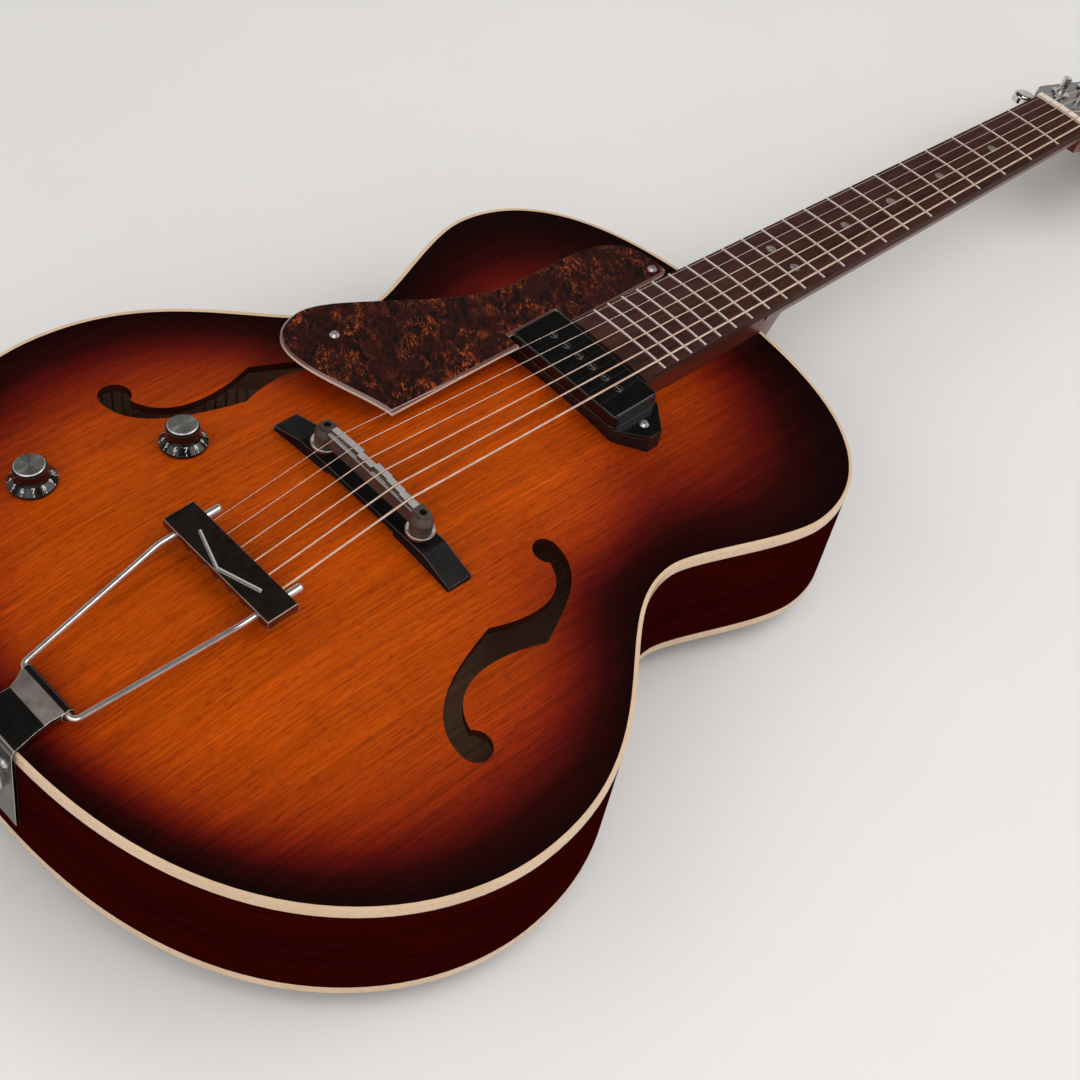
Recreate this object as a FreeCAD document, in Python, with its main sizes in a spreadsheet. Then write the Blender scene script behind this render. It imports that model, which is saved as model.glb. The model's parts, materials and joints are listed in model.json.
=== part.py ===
import FreeCAD, Part
import math
import operator
import os
from types import SimpleNamespace

import Sketcher
from FreeCAD import Placement, Rotation, Vector

# An archtop guitar strung for a left-handed player, lying on its back.
# It is drawn with +X to the bass side, +Y to the head and +Z out of the soundboard. Zero is the centre
# line, the nominal end of the scale at the bridge, and the flat rim of the soundboard. One common
# placement then stands every piece on the bench, with the origin under the middle of the whole guitar.

SIZES = {
    # scale and string line
    "scale_length": 631.0,
    "neck_pitch": 3.03,
    "fret_plane_at_saddle": 34.6,
    "string_lift_nut": 1.0,
    "string_lift_saddle": 4.4,
    "nut_string_spread": 36.0,
    "saddle_string_spread": 54.3,
    "string_1_gauge": 0.30,
    "string_2_gauge": 0.40,
    "string_3_gauge": 0.60,
    "string_4_gauge": 0.80,
    "string_5_gauge": 1.05,
    "string_6_gauge": 1.30,
    "string_bend": 6.0,
    "ball_radius": 1.8,
    "ball_length": 3.2,
    # body outline: half widths, where they lie, and how full the curve is between them
    "tail_behind": 232.0,
    "lower_bout_behind": 74.3,
    "waist_ahead": 102.0,
    "upper_bout_ahead": 194.5,
    "shoulder_ahead": 281.0,
    "lower_half_width": 207.6,
    "waist_half_width": 122.7,
    "upper_half_width": 149.8,
    "tail_fullness": 149.8,
    "lower_back_fullness": 67.6,
    "lower_front_fullness": 98.4,
    "waist_back_fullness": 53.1,
    "waist_front_fullness": 18.0,
    "upper_back_fullness": 27.2,
    "upper_front_fullness": 38.7,
    "shoulder_fullness": 120.0,
    # plates, rim and linings
    "rim_depth": 76.4,
    "rim_thickness": 3.0,
    "top_thickness": 5.0,
    "back_thickness": 4.5,
    "top_arch": 15.0,
    "back_arch": 16.0,
    "arch_margin": 7.0,
    "arch_tail_run": 130.0,
    "arch_neck_run": 230.0,
    "binding_thickness": 2.0,
    "top_binding_height": 6.6,
    "back_binding_height": 5.4,
    "lining_width": 6.0,
    "lining_height": 14.0,
    "neck_block_width": 76.0,
    "neck_block_length": 62.0,
    "end_block_width": 70.0,
    "end_block_length": 24.0,
    "tone_bar_width": 7.0,
    "tone_bar_offset": 36.0,
    "tone_bar_ahead": 108.0,
    "tone_bar_behind": 150.0,
    # sound holes: place of the middle, size of the lower half against the upper one, eye
    "sound_hole_out": 107.3,
    "sound_hole_back": 0.3,
    "sound_hole_growth": 1.2,
    "sound_hole_eye": 7.6,
    # neck and fingerboard
    "nut_width": 43.7,
    "nut_thickness": 5.0,
    "board_end_width": 58.6,
    "board_length": 460.0,
    "board_thickness": 6.0,
    "board_radius": 406.0,
    "fret_height": 1.0,
    "fret_width": 2.4,
    "fret_tang_width": 0.6,
    "fret_tang_depth": 1.8,
    "dot_radius": 3.2,
    "dot_depth": 1.6,
    "dot_pair_spread": 20.0,
    "neck_depth_nut": 15.0,
    "neck_depth_heel": 17.5,
    "heel_half_width": 26.0,
    "heel_foot_half_width": 17.0,
    "heel_length": 62.0,
    "heel_foot_length": 20.0,
    "tenon_width": 40.0,
    "tenon_length": 26.0,
    "tenon_below_rim": 9.0,
    "tenon_height": 52.0,
    "truss_rod_radius": 2.5,
    "truss_rod_depth": 8.0,
    "truss_nut_radius": 3.2,
    "truss_nut_length": 8.0,
    # head
    "head_angle": 14.0,
    "head_drop": 2.0,
    "head_thickness": 13.0,
    "head_veneer": 1.5,
    "head_length": 172.0,
    "head_half_width": 38.0,
    "head_top_half_width": 34.0,
    "head_cover_half_width": 10.0,
    "head_cover_length": 36.0,
    "head_cover_thickness": 2.0,
    # tuners
    "post_offset": 26.0,
    "first_post": 42.0,
    "post_pitch": 41.0,
    "post_radius": 3.0,
    "post_height": 13.0,
    "gear_radius": 5.4,
    "gear_thickness": 4.6,
    "worm_radius": 2.8,
    "worm_length": 8.0,
    "mesh_gap": 0.15,
    "housing_depth": 9.4,
    "housing_wall": 1.4,
    "key_shaft_radius": 1.9,
    "key_reach": 26.0,
    "button_length": 15.0,
    "button_width": 20.0,
    "button_thickness": 6.6,
    "bushing_radius": 5.0,
    "bushing_flange": 6.6,
    "bushing_depth": 9.0,
    "bushing_rim": 1.6,
    # pickup
    "pickup_from_board": 19.56,
    "cover_half_length": 42.0,
    "cover_half_width": 17.8,
    "spacer_rise": 6.1,
    "cover_height": 10.8,
    "cover_wall": 2.4,
    "cover_corner": 4.0,
    "cover_edge": 2.2,
    "ear_reach": 58.0,
    "ear_half_width": 4.6,
    "ear_thickness": 2.2,
    "well_margin": 1.0,
    "ear_screw_out": 48.5,
    "pole_pitch": 10.4,
    "pole_radius": 2.4,
    "pole_proud": 0.5,
    "pole_slot_width": 0.8,
    "pole_slot_depth": 0.6,
    "coil_half_length": 33.0,
    "coil_half_width": 13.5,
    "coil_height": 7.0,
    "magnet_length": 60.0,
    "magnet_width": 11.0,
    "magnet_thickness": 3.2,
    "baseplate_half_length": 36.0,
    "baseplate_half_width": 14.5,
    "baseplate_thickness": 1.6,
    # pickguard
    "guard_thickness": 3.0,
    "guard_tip_height": 24.0,
    "guard_neck_height": 20.0,
    "guard_tip_ahead": 38.0,
    "guard_neck_ahead": 252.0,
    "guard_string_edge": 33.5,
    "guard_gap": 0.8,
    "guard_bevel": 1.2,
    "standoff_width": 9.0,
    "standoff_length": 24.0,
    # bridge
    "bridge_behind": 5.0,
    "bridge_half_length": 69.5,
    "bridge_width": 15.5,
    "bridge_ridge_half": 48.3,
    "bridge_ridge_height": 20.4,
    "bridge_tip_height": 13.4,
    "bridge_relief_half": 26.0,
    "bridge_relief": 1.6,
    "stud_offset": 37.4,
    "stud_radius": 2.0,
    "stud_sink": 4.5,
    "stud_proud": 1.2,
    "wheel_radius": 8.0,
    "wheel_thickness": 2.6,
    "wheel_lift": 3.3,
    "wheel_edge": 0.5,
    "saddle_half_length": 40.0,
    "saddle_width": 7.0,
    "saddle_boss_radius": 6.2,
    "saddle_boss_height": 10.6,
    "saddle_boss_shoulder": 4.0,
    "saddle_boss_top": 4.6,
    "saddle_crest_width": 3.8,
    "saddle_step_depth": 1.5,
    "saddle_underside": 2.0,
    # tailpiece
    "bar_half_length": 41.2,
    "bar_middle_behind": 97.0,
    "bar_depth": 19.0,
    "bar_top_height": 28.5,
    "bar_tilt": 3.4,
    "bar_plate": 1.8,
    "bar_flange": 5.6,
    "bar_edge": 0.8,
    "bar_ridge": 0.8,
    "ball_slot_width": 4.6,
    "ball_slot_height": 2.2,
    "rod_radius": 1.6,
    "rod_offset": 31.8,
    "rod_below_bar_top": 3.5,
    "rod_bend": 30.0,
    "rod_nut_radius": 2.4,
    "rod_nut_length": 10.0,
    "hinge_half_width": 20.6,
    "hinge_from_tail": 29.0,
    "hinge_height": 7.6,
    "bracket_half_width": 16.6,
    "bracket_thickness": 2.0,
    "bracket_bend": 2.0,
    "bracket_drop": 56.0,
    "bracket_edge_height": 3.8,
    "bracket_waist": 14.1,
    "crease_from_tail": 17.8,
    "crease_height": 5.9,
    "crease_bend": 0.8,
    # end pin with output jack
    "jack_below_rim": 24.0,
    "jack_barrel_radius": 6.0,
    "jack_bore_radius": 3.2,
    "jack_bore_depth": 30.0,
    "jack_flange_radius": 11.5,
    "jack_waist_radius": 6.6,
    "jack_length": 14.0,
    # controls
    "volume_out": 90.0,
    "volume_behind": 56.0,
    "tone_out": 115.5,
    "tone_behind": 131.5,
    "knob_radius": 13.0,
    "knob_neck_radius": 9.0,
    "knob_height": 11.4,
    "knob_skirt": 1.6,
    "knob_recess_radius": 9.6,
    "knob_recess_depth": 3.6,
    "knob_cap_radius": 8.3,
    "knob_cap_height": 1.4,
    "shaft_radius": 3.0,
    "pot_radius": 12.0,
    "pot_height": 9.0,
    "pot_bushing_radius": 4.7,
    "pot_nut_radius": 7.0,
    "pot_nut_height": 2.2,
    "lead_radius": 1.1,
    "lead_bend": 6.0,
    "capacitor_radius": 3.6,
    "capacitor_length": 14.0,
    # clearances and screws
    "running_gap": 0.05,
    "free_gap": 0.3,
    "glue_gap": 0.1,
    "slot_gap": 0.12,
    "knob_gap": 0.7,
    "screw_radius": 1.4,
    "screw_head_radius": 2.9,
    "screw_head_height": 1.6,
    "small_screw_radius": 0.9,
    "small_screw_head_radius": 1.9,
    "small_screw_head_height": 1.0,
}

FRET_COUNT = 21
SINGLE_DOT_FRETS = (3, 5, 7, 9)
DOUBLE_DOT_FRET = 12
STRING_COUNT = 6
PLAIN_STRINGS = (1, 2)
WOUND_STRINGS = (3, 4, 5, 6)

doc = FreeCAD.newDocument("ArchtopGuitar")
sheet = doc.addObject("Spreadsheet::Sheet", "Sizes")
for row, (alias, number) in enumerate(SIZES.items(), start=1):
    sheet.set("A%d" % row, alias)
    sheet.set("B%d" % row, str(number))
    sheet.setAlias("B%d" % row, alias)
doc.recompute()

OPERATIONS = {"+": operator.add, "-": operator.sub, "*": operator.mul, "/": operator.truediv}


class Size:
    """A length that is bound to the sheet: its number, and the formula that gives it."""

    def __init__(self, number, formula):
        self.number = number
        self.formula = formula

    def __float__(self):
        return float(self.number)

    def __add__(self, other):
        return combine("+", self, other)

    def __radd__(self, other):
        return combine("+", other, self)

    def __sub__(self, other):
        return combine("-", self, other)

    def __rsub__(self, other):
        return combine("-", other, self)

    def __mul__(self, other):
        return combine("*", self, other)

    def __rmul__(self, other):
        return combine("*", other, self)

    def __truediv__(self, other):
        return combine("/", self, other)

    def __neg__(self):
        return combine("-", 0, self)


def formula_of(value):
    """The sheet formula of a size, or the text of a plain number."""
    return value.formula if isinstance(value, Size) else repr(float(value))


def combine(sign, left, right):
    """Two sizes joined by a sign, as a number and as a formula."""
    number = OPERATIONS[sign](float(left), float(right))
    return Size(number, "(%s %s %s)" % (formula_of(left), sign, formula_of(right)))


# s holds the bound sizes, n the plain numbers that the sheet gives for the same names
s = SimpleNamespace(**{alias: Size(float(sheet.get(alias)), "Sizes." + alias) for alias in SIZES})
n = SimpleNamespace(**{alias: float(sheet.get(alias)) for alias in SIZES})

X_AXIS = Vector(1, 0, 0)
Y_AXIS = Vector(0, 1, 0)
Z_AXIS = Vector(0, 0, 1)
subparts = []


# Helpers for bound features

def publish(item, label):
    """Give a finished piece its node name and put it on the list of sub-parts."""
    item.Label = label
    subparts.append(item)
    return item


def bind(item, name, value):
    """Tie one property of an object to the sheet."""
    item.setExpression(name, formula_of(value))


def place(item, x=0, y=0, z=0):
    """Tie the position of an object to the sheet."""
    for axis, value in zip("xyz", (x, y, z)):
        bind(item, "Placement.Base." + axis, value)
    return item


def box(length, width, height, x=0, y=0, z=0):
    """A bound block whose lowest corner is at x, y, z."""
    item = doc.addObject("Part::Box", "Block")
    for name, value in (("Length", length), ("Width", width), ("Height", height)):
        bind(item, name, value)
    return place(item, x, y, z)


def cylinder(radius, height, x=0, y=0, z=0, axis=Z_AXIS):
    """A bound round bar that starts at x, y, z and runs along an axis."""
    item = doc.addObject("Part::Cylinder", "Bar")
    bind(item, "Radius", radius)
    bind(item, "Height", height)
    item.Placement = Placement(Vector(), Rotation(Z_AXIS, axis))
    return place(item, x, y, z)


def cone(low_radius, high_radius, height, x=0, y=0, z=0):
    """A bound upright cone cut short at the top."""
    item = doc.addObject("Part::Cone", "Taper")
    for name, value in (("Radius1", low_radius), ("Radius2", high_radius), ("Height", height)):
        bind(item, name, value)
    return place(item, x, y, z)


def fuse(*items):
    """Several bound objects joined into one."""
    item = doc.addObject("Part::MultiFuse", "Join")
    item.Shapes = list(items)
    item.Refine = True
    return item


def cut(base, *tools):
    """A bound object with others taken out of it."""
    for tool in tools:
        item = doc.addObject("Part::Cut", "Cut")
        item.Base = base
        item.Tool = tool
        item.Refine = False
        base = item
    return base


def common(base, tool):
    """What two bound objects share."""
    item = doc.addObject("Part::Common", "Share")
    item.Base = base
    item.Tool = tool
    return item


def solid(shape, name="Form"):
    """A document object round a shape made with Part's own functions."""
    item = doc.addObject("Part::Feature", name)
    item.Shape = shape
    return item


def new_body():
    """An empty design body."""
    return doc.addObject("PartDesign::Body", "Body")


def sketch_on(body, role):
    """A sketch on one of the body's own origin planes."""
    drawing = body.newObject("Sketcher::SketchObject", "Sketch")
    plane = next(item for item in body.Origin.OriginFeatures if item.Role == role)
    drawing.AttachmentSupport = [(plane, "")]
    drawing.MapMode = "FlatFace"
    return drawing


def pin_point(drawing, geometry, point, x, y):
    """Hold a point of a sketch at two sizes measured from the sketch's origin."""
    for kind, axis, value in (("DistanceX", -2, x), ("DistanceY", -1, y)):
        if float(value) == 0:
            drawing.addConstraint(Sketcher.Constraint("PointOnObject", geometry, point, axis))
            continue
        rule = Sketcher.Constraint(kind, -1, 1, geometry, point, float(value))
        bind(drawing, "Constraints[%d]" % drawing.addConstraint(rule), value)


def polygon(body, role, corners):
    """A closed sketch of straight lines through bound corners."""
    drawing = sketch_on(body, role)
    points = [Vector(float(x), float(y), 0) for x, y in corners]
    following = points[1:] + points[:1]
    for start, end in zip(points, following):
        drawing.addGeometry(Part.LineSegment(start, end), False)
    for index, (x, y) in enumerate(corners):
        drawing.addConstraint(Sketcher.Constraint("Coincident", index, 2, (index + 1) % len(corners), 1))
        pin_point(drawing, index, 1, x, y)
    return drawing


def rounds(body, role, circles):
    """A sketch of bound circles, each given as x, y and radius."""
    drawing = sketch_on(body, role)
    for index, (x, y, radius) in enumerate(circles):
        drawing.addGeometry(Part.Circle(Vector(float(x), float(y), 0), Z_AXIS, float(radius)), False)
        rule = Sketcher.Constraint("Radius", index, float(radius))
        bind(drawing, "Constraints[%d]" % drawing.addConstraint(rule), radius)
        pin_point(drawing, index, 3, x, y)
    return drawing


def pad(body, drawing, length, symmetric=False):
    """Material raised from a sketch."""
    feature = body.newObject("PartDesign::Pad", "Pad")
    feature.Profile = drawing
    feature.SideType = "Symmetric" if symmetric else "One side"
    bind(feature, "Length", length)
    return feature


def pocket(body, drawing, depth=None, into_plus=False):
    """Material taken away under a sketch, to a depth or right through on both sides."""
    feature = body.newObject("PartDesign::Pocket", "Pocket")
    feature.Profile = drawing
    if depth is None:
        feature.Type = "ThroughAll"
        feature.SideType = "Symmetric"
    else:
        feature.Reversed = into_plus
        bind(feature, "Length", depth)
    return feature


def round_over(body, feature, radius, chosen):
    """Round the edges of a feature that a test chooses."""
    doc.recompute()
    names = ["Edge%d" % index for index, edge in enumerate(feature.Shape.Edges, start=1) if chosen(edge)]
    rounding = body.newObject("PartDesign::Fillet", "Rounding")
    rounding.Base = (feature, names)
    bind(rounding, "Radius", radius)
    return rounding


def turned(profile):
    """A body turned about Z from corners given as radius and height."""
    body = new_body()
    drawing = polygon(body, "XZ_Plane", profile)
    feature = body.newObject("PartDesign::Revolution", "Turning")
    feature.Profile = drawing
    feature.ReferenceAxis = (drawing, ["V_Axis"])
    feature.Angle = 360.0
    return body


# Helpers for curves

def bezier(poles):
    """An edge along a Bezier curve."""
    curve = Part.BezierCurve()
    curve.setPoles(poles)
    return curve.toShape()


def mirrored(point):
    """The same point on the other side of the centre line."""
    return Vector(-point.x, point.y, point.z)


def rounded_path(points, radii):
    """Edges along straight runs, with a tangent arc at each inner point."""
    edges = []
    start = points[0]
    for before, corner, after, radius in zip(points, points[1:], points[2:], radii):
        back = (before - corner).normalize()
        ahead = (after - corner).normalize()
        half_turn = (math.pi - back.getAngle(ahead)) / 2
        reach = radius * math.tan(half_turn)
        middle = (back + ahead).normalize()
        entry = corner + back * reach
        leave = corner + ahead * reach
        crest = corner + middle * (radius / math.cos(half_turn) - radius)
        edges.append(Part.LineSegment(start, entry).toShape())
        edges.append(Part.Arc(entry, crest, leave).toShape())
        start = leave
    edges.append(Part.LineSegment(start, points[-1]).toShape())
    return edges


SECTION_TOLERANCE = 0.02


def tube(edges, radius):
    """A round bar swept along edges that follow each other."""
    wire = Part.Wire(edges)
    first = edges[0]
    direction = first.tangentAt(first.FirstParameter)
    circle = Part.Circle(first.valueAt(first.FirstParameter), direction, radius)
    swept = wire.makePipeShell([Part.Wire([circle.toShape()])], True, False)
    expected = math.pi * radius ** 2 * wire.Length
    if abs(swept.Volume / expected - 1) > SECTION_TOLERANCE:
        raise RuntimeError("a swept bar has lost its section")
    return swept


# Outline of the body

def set_in(poles, inward_start, inward_end, inset):
    """A Bezier span moved inwards by a distance, its handles shortened by the bend at each end."""
    start, leave, arrive, end = poles
    leaving = leave - start
    arriving = arrive - end
    bend_start = (arrive - start).dot(inward_start) * 2 / 3 / leaving.Length ** 2
    bend_end = (leave - end).dot(inward_end) * 2 / 3 / arriving.Length ** 2
    new_start = start + inward_start * inset
    new_end = end + inward_end * inset
    return [new_start, new_start + leaving * (1 - inset * bend_start),
            new_end + arriving * (1 - inset * bend_end), new_end]


def half_outline(inset=0.0):
    """The four Bezier spans of the bass half, from the tail to the shoulder."""
    stations = [
        (Vector(0, -n.tail_behind, 0), X_AXIS, Y_AXIS),
        (Vector(n.lower_half_width, -n.lower_bout_behind, 0), Y_AXIS, -X_AXIS),
        (Vector(n.waist_half_width, n.waist_ahead, 0), Y_AXIS, -X_AXIS),
        (Vector(n.upper_half_width, n.upper_bout_ahead, 0), Y_AXIS, -X_AXIS),
        (Vector(0, n.shoulder_ahead, 0), -X_AXIS, -Y_AXIS),
    ]
    fullness = [
        (n.tail_fullness, n.lower_back_fullness),
        (n.lower_front_fullness, n.waist_back_fullness),
        (n.waist_front_fullness, n.upper_back_fullness),
        (n.upper_front_fullness, n.shoulder_fullness),
    ]
    spans = []
    for (start, along_start, in_start), (end, along_end, in_end), (leave, arrive) in zip(
            stations, stations[1:], fullness):
        poles = [start, start + along_start * leave, end - along_end * arrive, end]
        spans.append(set_in(poles, in_start, in_end, inset))
    return spans


def outline_face(inset):
    """The flat face inside the body outline."""
    bass = half_outline(inset)
    treble = [[mirrored(pole) for pole in reversed(span)] for span in reversed(bass)]
    return Part.Face(Part.Wire([bezier(span) for span in bass + treble]))


def outline_prism(inset, low, high):
    """A straight block inside the body outline, between two heights."""
    return outline_face(inset).translated(Vector(0, 0, low)).extrude(Vector(0, 0, high - low))


def half_ring(outer_inset, inner_inset, low, high):
    """The bass half of a straight wall between two set-in outlines."""
    outer = half_outline(outer_inset)
    inner = half_outline(inner_inset)
    edges = [bezier(span) for span in outer]
    edges.append(Part.LineSegment(outer[-1][-1], inner[-1][-1]).toShape())
    edges += [bezier(list(reversed(span))) for span in reversed(inner)]
    edges.append(Part.LineSegment(inner[0][0], outer[0][0]).toShape())
    face = Part.Face(Part.Wire(edges)).translated(Vector(0, 0, low))
    return face.extrude(Vector(0, 0, high - low))


def half_width(y):
    """Half the width of the body across a line at y."""
    for span in half_outline():
        if span[0].y <= y <= span[3].y:
            low, high = 0.0, 1.0
            for _ in range(40):
                middle = (low + high) / 2
                if span_point(span, middle).y < y:
                    low = middle
                else:
                    high = middle
            return span_point(span, low).x
    return 0.0


def span_point(span, share):
    """A point along a Bezier span."""
    rest = 1 - share
    return (span[0] * rest ** 3 + span[1] * (3 * rest ** 2 * share)
            + span[2] * (3 * rest * share ** 2) + span[3] * share ** 3)


# Arch of the plates

ARCH_COLUMNS = 31
ARCH_ROWS = 39
ARCH_OVERHANG = 6.0


def rise(share):
    """A smooth step from 0 to 1 with level ends."""
    return 0.5 - 0.5 * math.cos(math.pi * min(max(share, 0.0), 1.0))


def swell(x, y):
    """Height of the arch at a point, from 0 at the flat margin to 1 at the crown."""
    tail = rise((y + n.tail_behind - n.arch_margin) / n.arch_tail_run)
    neck = rise((n.shoulder_ahead - n.arch_margin - y) / n.arch_neck_run)
    reach = half_width(y) - n.arch_margin
    if tail * neck == 0 or reach <= 0:
        return 0.0
    return tail * neck * rise(1 - abs(x) / reach)


def arch_face(height, level):
    """The arched surface of a plate over the whole body and a little beyond."""
    half = n.lower_half_width + ARCH_OVERHANG
    back = -n.tail_behind - ARCH_OVERHANG
    front = n.shoulder_ahead + ARCH_OVERHANG
    columns = [-half + 2 * half * i / (ARCH_COLUMNS - 1) for i in range(ARCH_COLUMNS)]
    rows = [back + (front - back) * i / (ARCH_ROWS - 1) for i in range(ARCH_ROWS)]
    surface = Part.BSplineSurface()
    surface.interpolate([[Vector(x, y, level + height * swell(x, y)) for y in rows] for x in columns])
    return surface.toShape()


def top_frame(x, y):
    """A place on the soundboard's face, with its axis square to the arch."""
    step = 0.5
    slope_x = (swell(x + step, y) - swell(x - step, y)) / (2 * step) * n.top_arch
    slope_y = (swell(x, y + step) - swell(x, y - step)) / (2 * step) * n.top_arch
    normal = Vector(-slope_x, -slope_y, 1)
    return Placement(Vector(x, y, n.top_arch * swell(x, y)), Rotation(Z_AXIS, normal))


top_face = arch_face(n.top_arch, 0.0)
back_face = arch_face(-n.back_arch, -n.rim_depth)
DEEP = n.rim_depth + n.back_arch + n.top_arch
under_top = top_face.extrude(Vector(0, 0, -DEEP))
under_top_plate = under_top.translated(Vector(0, 0, -n.top_thickness))
over_back_plate = back_face.translated(Vector(0, 0, n.back_thickness)).extrude(Vector(0, 0, DEEP))
chamber = outline_prism(n.rim_thickness, -DEEP, DEEP).common(under_top_plate).common(over_back_plate)

# Frames of the neck and the head

pitch = math.radians(n.neck_pitch)
nut_line = Vector(0, n.scale_length * math.cos(pitch),
                  n.fret_plane_at_saddle - n.scale_length * math.sin(pitch))
neck_frame = Placement(nut_line, Rotation(X_AXIS, -n.neck_pitch))
board_seat = -n.fret_height - n.board_thickness
head_frame = neck_frame.multiply(
    Placement(Vector(0, n.nut_thickness, board_seat - n.head_drop), Rotation(X_AXIS, -n.head_angle)))
pickup_ahead = neck_frame.multVec(Vector(0, -n.board_length, 0)).y - n.pickup_from_board
cover_seat = n.top_arch * swell(0, pickup_ahead) + n.spacer_rise
pickup_frame = Placement(Vector(0, pickup_ahead, cover_seat), Rotation())
bar_frame = Placement(Vector(0, -n.bar_middle_behind, n.bar_top_height), Rotation(X_AXIS, n.bar_tilt))
volume_frame = top_frame(-n.volume_out, -n.volume_behind)
tone_frame = top_frame(-n.tone_out, -n.tone_behind)


def moved(shape, frame):
    """A copy of a shape carried into a frame."""
    copy = shape.copy()
    copy.Placement = frame.multiply(copy.Placement)
    return copy


def board_half_width(distance):
    """Half the width of the fingerboard at a distance from the nut."""
    return (n.nut_width + (n.board_end_width - n.nut_width) * distance / n.board_length) / 2


def bar(radius, start, end):
    """A plain round bar between two points."""
    return Part.makeCylinder(radius, (end - start).Length, start, end - start)


def block(low, high):
    """A plain rectangular block between two corners."""
    size = high - low
    return Part.makeBox(size.x, size.y, size.z, low)


SCREW_HEAD_TAPER = 0.6
# shares of the wood below a head that the screws reach
GUARD_SCREW_REACH = 0.7
BRACKET_SCREW_REACH = 0.8
HOUSING_SCREW_REACH = 0.6
COVER_SCREW_REACH = 0.4
# places of the screws as shares of the plates that they hold
BRACKET_SCREW_OUT = 0.6
BRACKET_SCREW_DROP = 0.45
# edge margins in screw head radii
COVER_SCREW_MARGIN = 1.6
HOUSING_SCREW_MARGIN = 1.5


def screw(head_radius, head_height, shank_radius, length):
    """A round-headed wood screw with its head on z = 0 and its shank below."""
    head = Part.makeCone(head_radius, head_radius * SCREW_HEAD_TAPER, head_height)
    shank = Part.makeCylinder(shank_radius, length, Vector(0, 0, -length))
    return head.fuse(shank).removeSplitter()


# Screws that fasten the pieces to the wood

def large_screw(length):
    """A screw of the kind that holds the pickup, the pickguard and the bracket."""
    return screw(n.screw_head_radius, n.screw_head_height, n.screw_radius, length)


def small_screw(length):
    """A screw of the kind that holds the tuners and the head cover."""
    return screw(n.small_screw_head_radius, n.small_screw_head_height, n.small_screw_radius, length)


def pickup_screws():
    """The two screws through the ears of the pickup."""
    form = large_screw(n.ear_thickness + cover_seat)
    seat = Vector(n.ear_screw_out, pickup_ahead, cover_seat + n.ear_thickness)
    return [form.translated(mirrored(seat)), form.translated(seat)]


def guard_screws():
    """The two screws of the pickguard, short of the soundboard."""
    placed = []
    for x, y in guard_screw_places():
        seat = guard_frame.multVec(Vector(x, y, n.guard_thickness))
        depth = (seat.z - n.top_arch * swell(seat.x, seat.y)) * GUARD_SCREW_REACH
        placed.append(large_screw(depth).translated(seat))
    return placed


def bracket_screws():
    """The three screws of the tail bracket, into the end block."""
    form = large_screw(n.bracket_thickness + n.end_block_length * BRACKET_SCREW_REACH)
    outside = -n.tail_behind - n.free_gap - n.bracket_thickness
    return [moved(form, Placement(Vector(x, outside, -drop), Rotation(Z_AXIS, -Y_AXIS)))
            for x, drop in bracket_screw_places()]


def head_screws():
    """The screws of the tuner housings and of the head cover."""
    housing_screw = small_screw(n.head_thickness * HOUSING_SCREW_REACH)
    under_head = Vector(0, housing_ear_back(), -n.head_thickness - n.housing_wall)
    upside_down = Rotation(Z_AXIS, -Z_AXIS)
    seats = [Placement(post_place(number) + under_head, upside_down) for number in range(1, STRING_COUNT + 1)]
    placed = [moved(housing_screw, head_frame.multiply(seat)) for seat in seats]
    cover_hold = n.head_veneer + n.head_thickness * COVER_SCREW_REACH
    cover_screw = small_screw(n.head_cover_thickness + cover_hold)
    for x, y in head_cover_screw_places():
        seat = Vector(x, y, n.head_veneer + n.head_cover_thickness)
        placed.append(moved(cover_screw, head_frame.multiply(Placement(seat, Rotation()))))
    return placed


def bracket_screw_places():
    """Where the tail bracket is screwed on: across the bracket and down from the rim."""
    across = n.bracket_half_width * BRACKET_SCREW_OUT
    drop = n.jack_below_rim * BRACKET_SCREW_DROP
    lowest = n.bracket_drop - n.bracket_half_width * BRACKET_SCREW_DROP
    return [(-across, drop), (across, drop), (0.0, lowest)]


def head_cover_screw_places():
    """Where the head cover is screwed on, across and along the head."""
    margin = n.small_screw_head_radius * COVER_SCREW_MARGIN
    across = n.head_cover_half_width - margin
    far = n.free_gap + n.head_cover_length - margin
    return [(-across, n.free_gap + margin), (across, n.free_gap + margin), (0.0, far)]


def post_place(number):
    """The middle of a tuner post on the face of the head, for a string number."""
    on_treble = number <= STRING_COUNT // 2
    row_on_head = number - 1 if on_treble else STRING_COUNT - number
    side = -1 if on_treble else 1
    return Vector(side * n.post_offset, n.first_post + row_on_head * n.post_pitch, 0)


def housing_ear_back():
    """How far behind its post a tuner housing is screwed to the head."""
    margin = n.small_screw_head_radius * HOUSING_SCREW_MARGIN
    return -n.gear_radius - n.free_gap - n.housing_wall - margin


# Pickguard outline, in the plane of its underside

guard_slope = math.atan2(n.guard_tip_height - n.guard_neck_height, n.guard_neck_ahead - n.guard_tip_ahead)
guard_frame = Placement(Vector(0, n.guard_tip_ahead, n.guard_tip_height - n.guard_thickness),
                        Rotation(X_AXIS, -math.degrees(guard_slope)))
GUARD_SCREW_OUT = 97.0
GUARD_SCREW_AHEAD = 13.0
GUARD_TIP_HANDLE = Vector(-60.5, -2.5, 0)
GUARD_HEEL = Vector(-123.0, 6.5, 0)
GUARD_HEEL_HANDLES = (Vector(-115.0, -39.0, 0), Vector(-127.0, 29.0, 0))
GUARD_CREST = Vector(-76.0, 112.0, 0)
GUARD_CREST_HANDLES = (Vector(-87.0, 71.5, 0), Vector(-66.5, 148.0, 0))
GUARD_NECK_HANDLE_OUT = 91.5
GUARD_NECK_OVERRUN = 4.0
GUARD_NECK_FLAT = 3.0
GUARD_NECK_ROUND = 14.0


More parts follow.
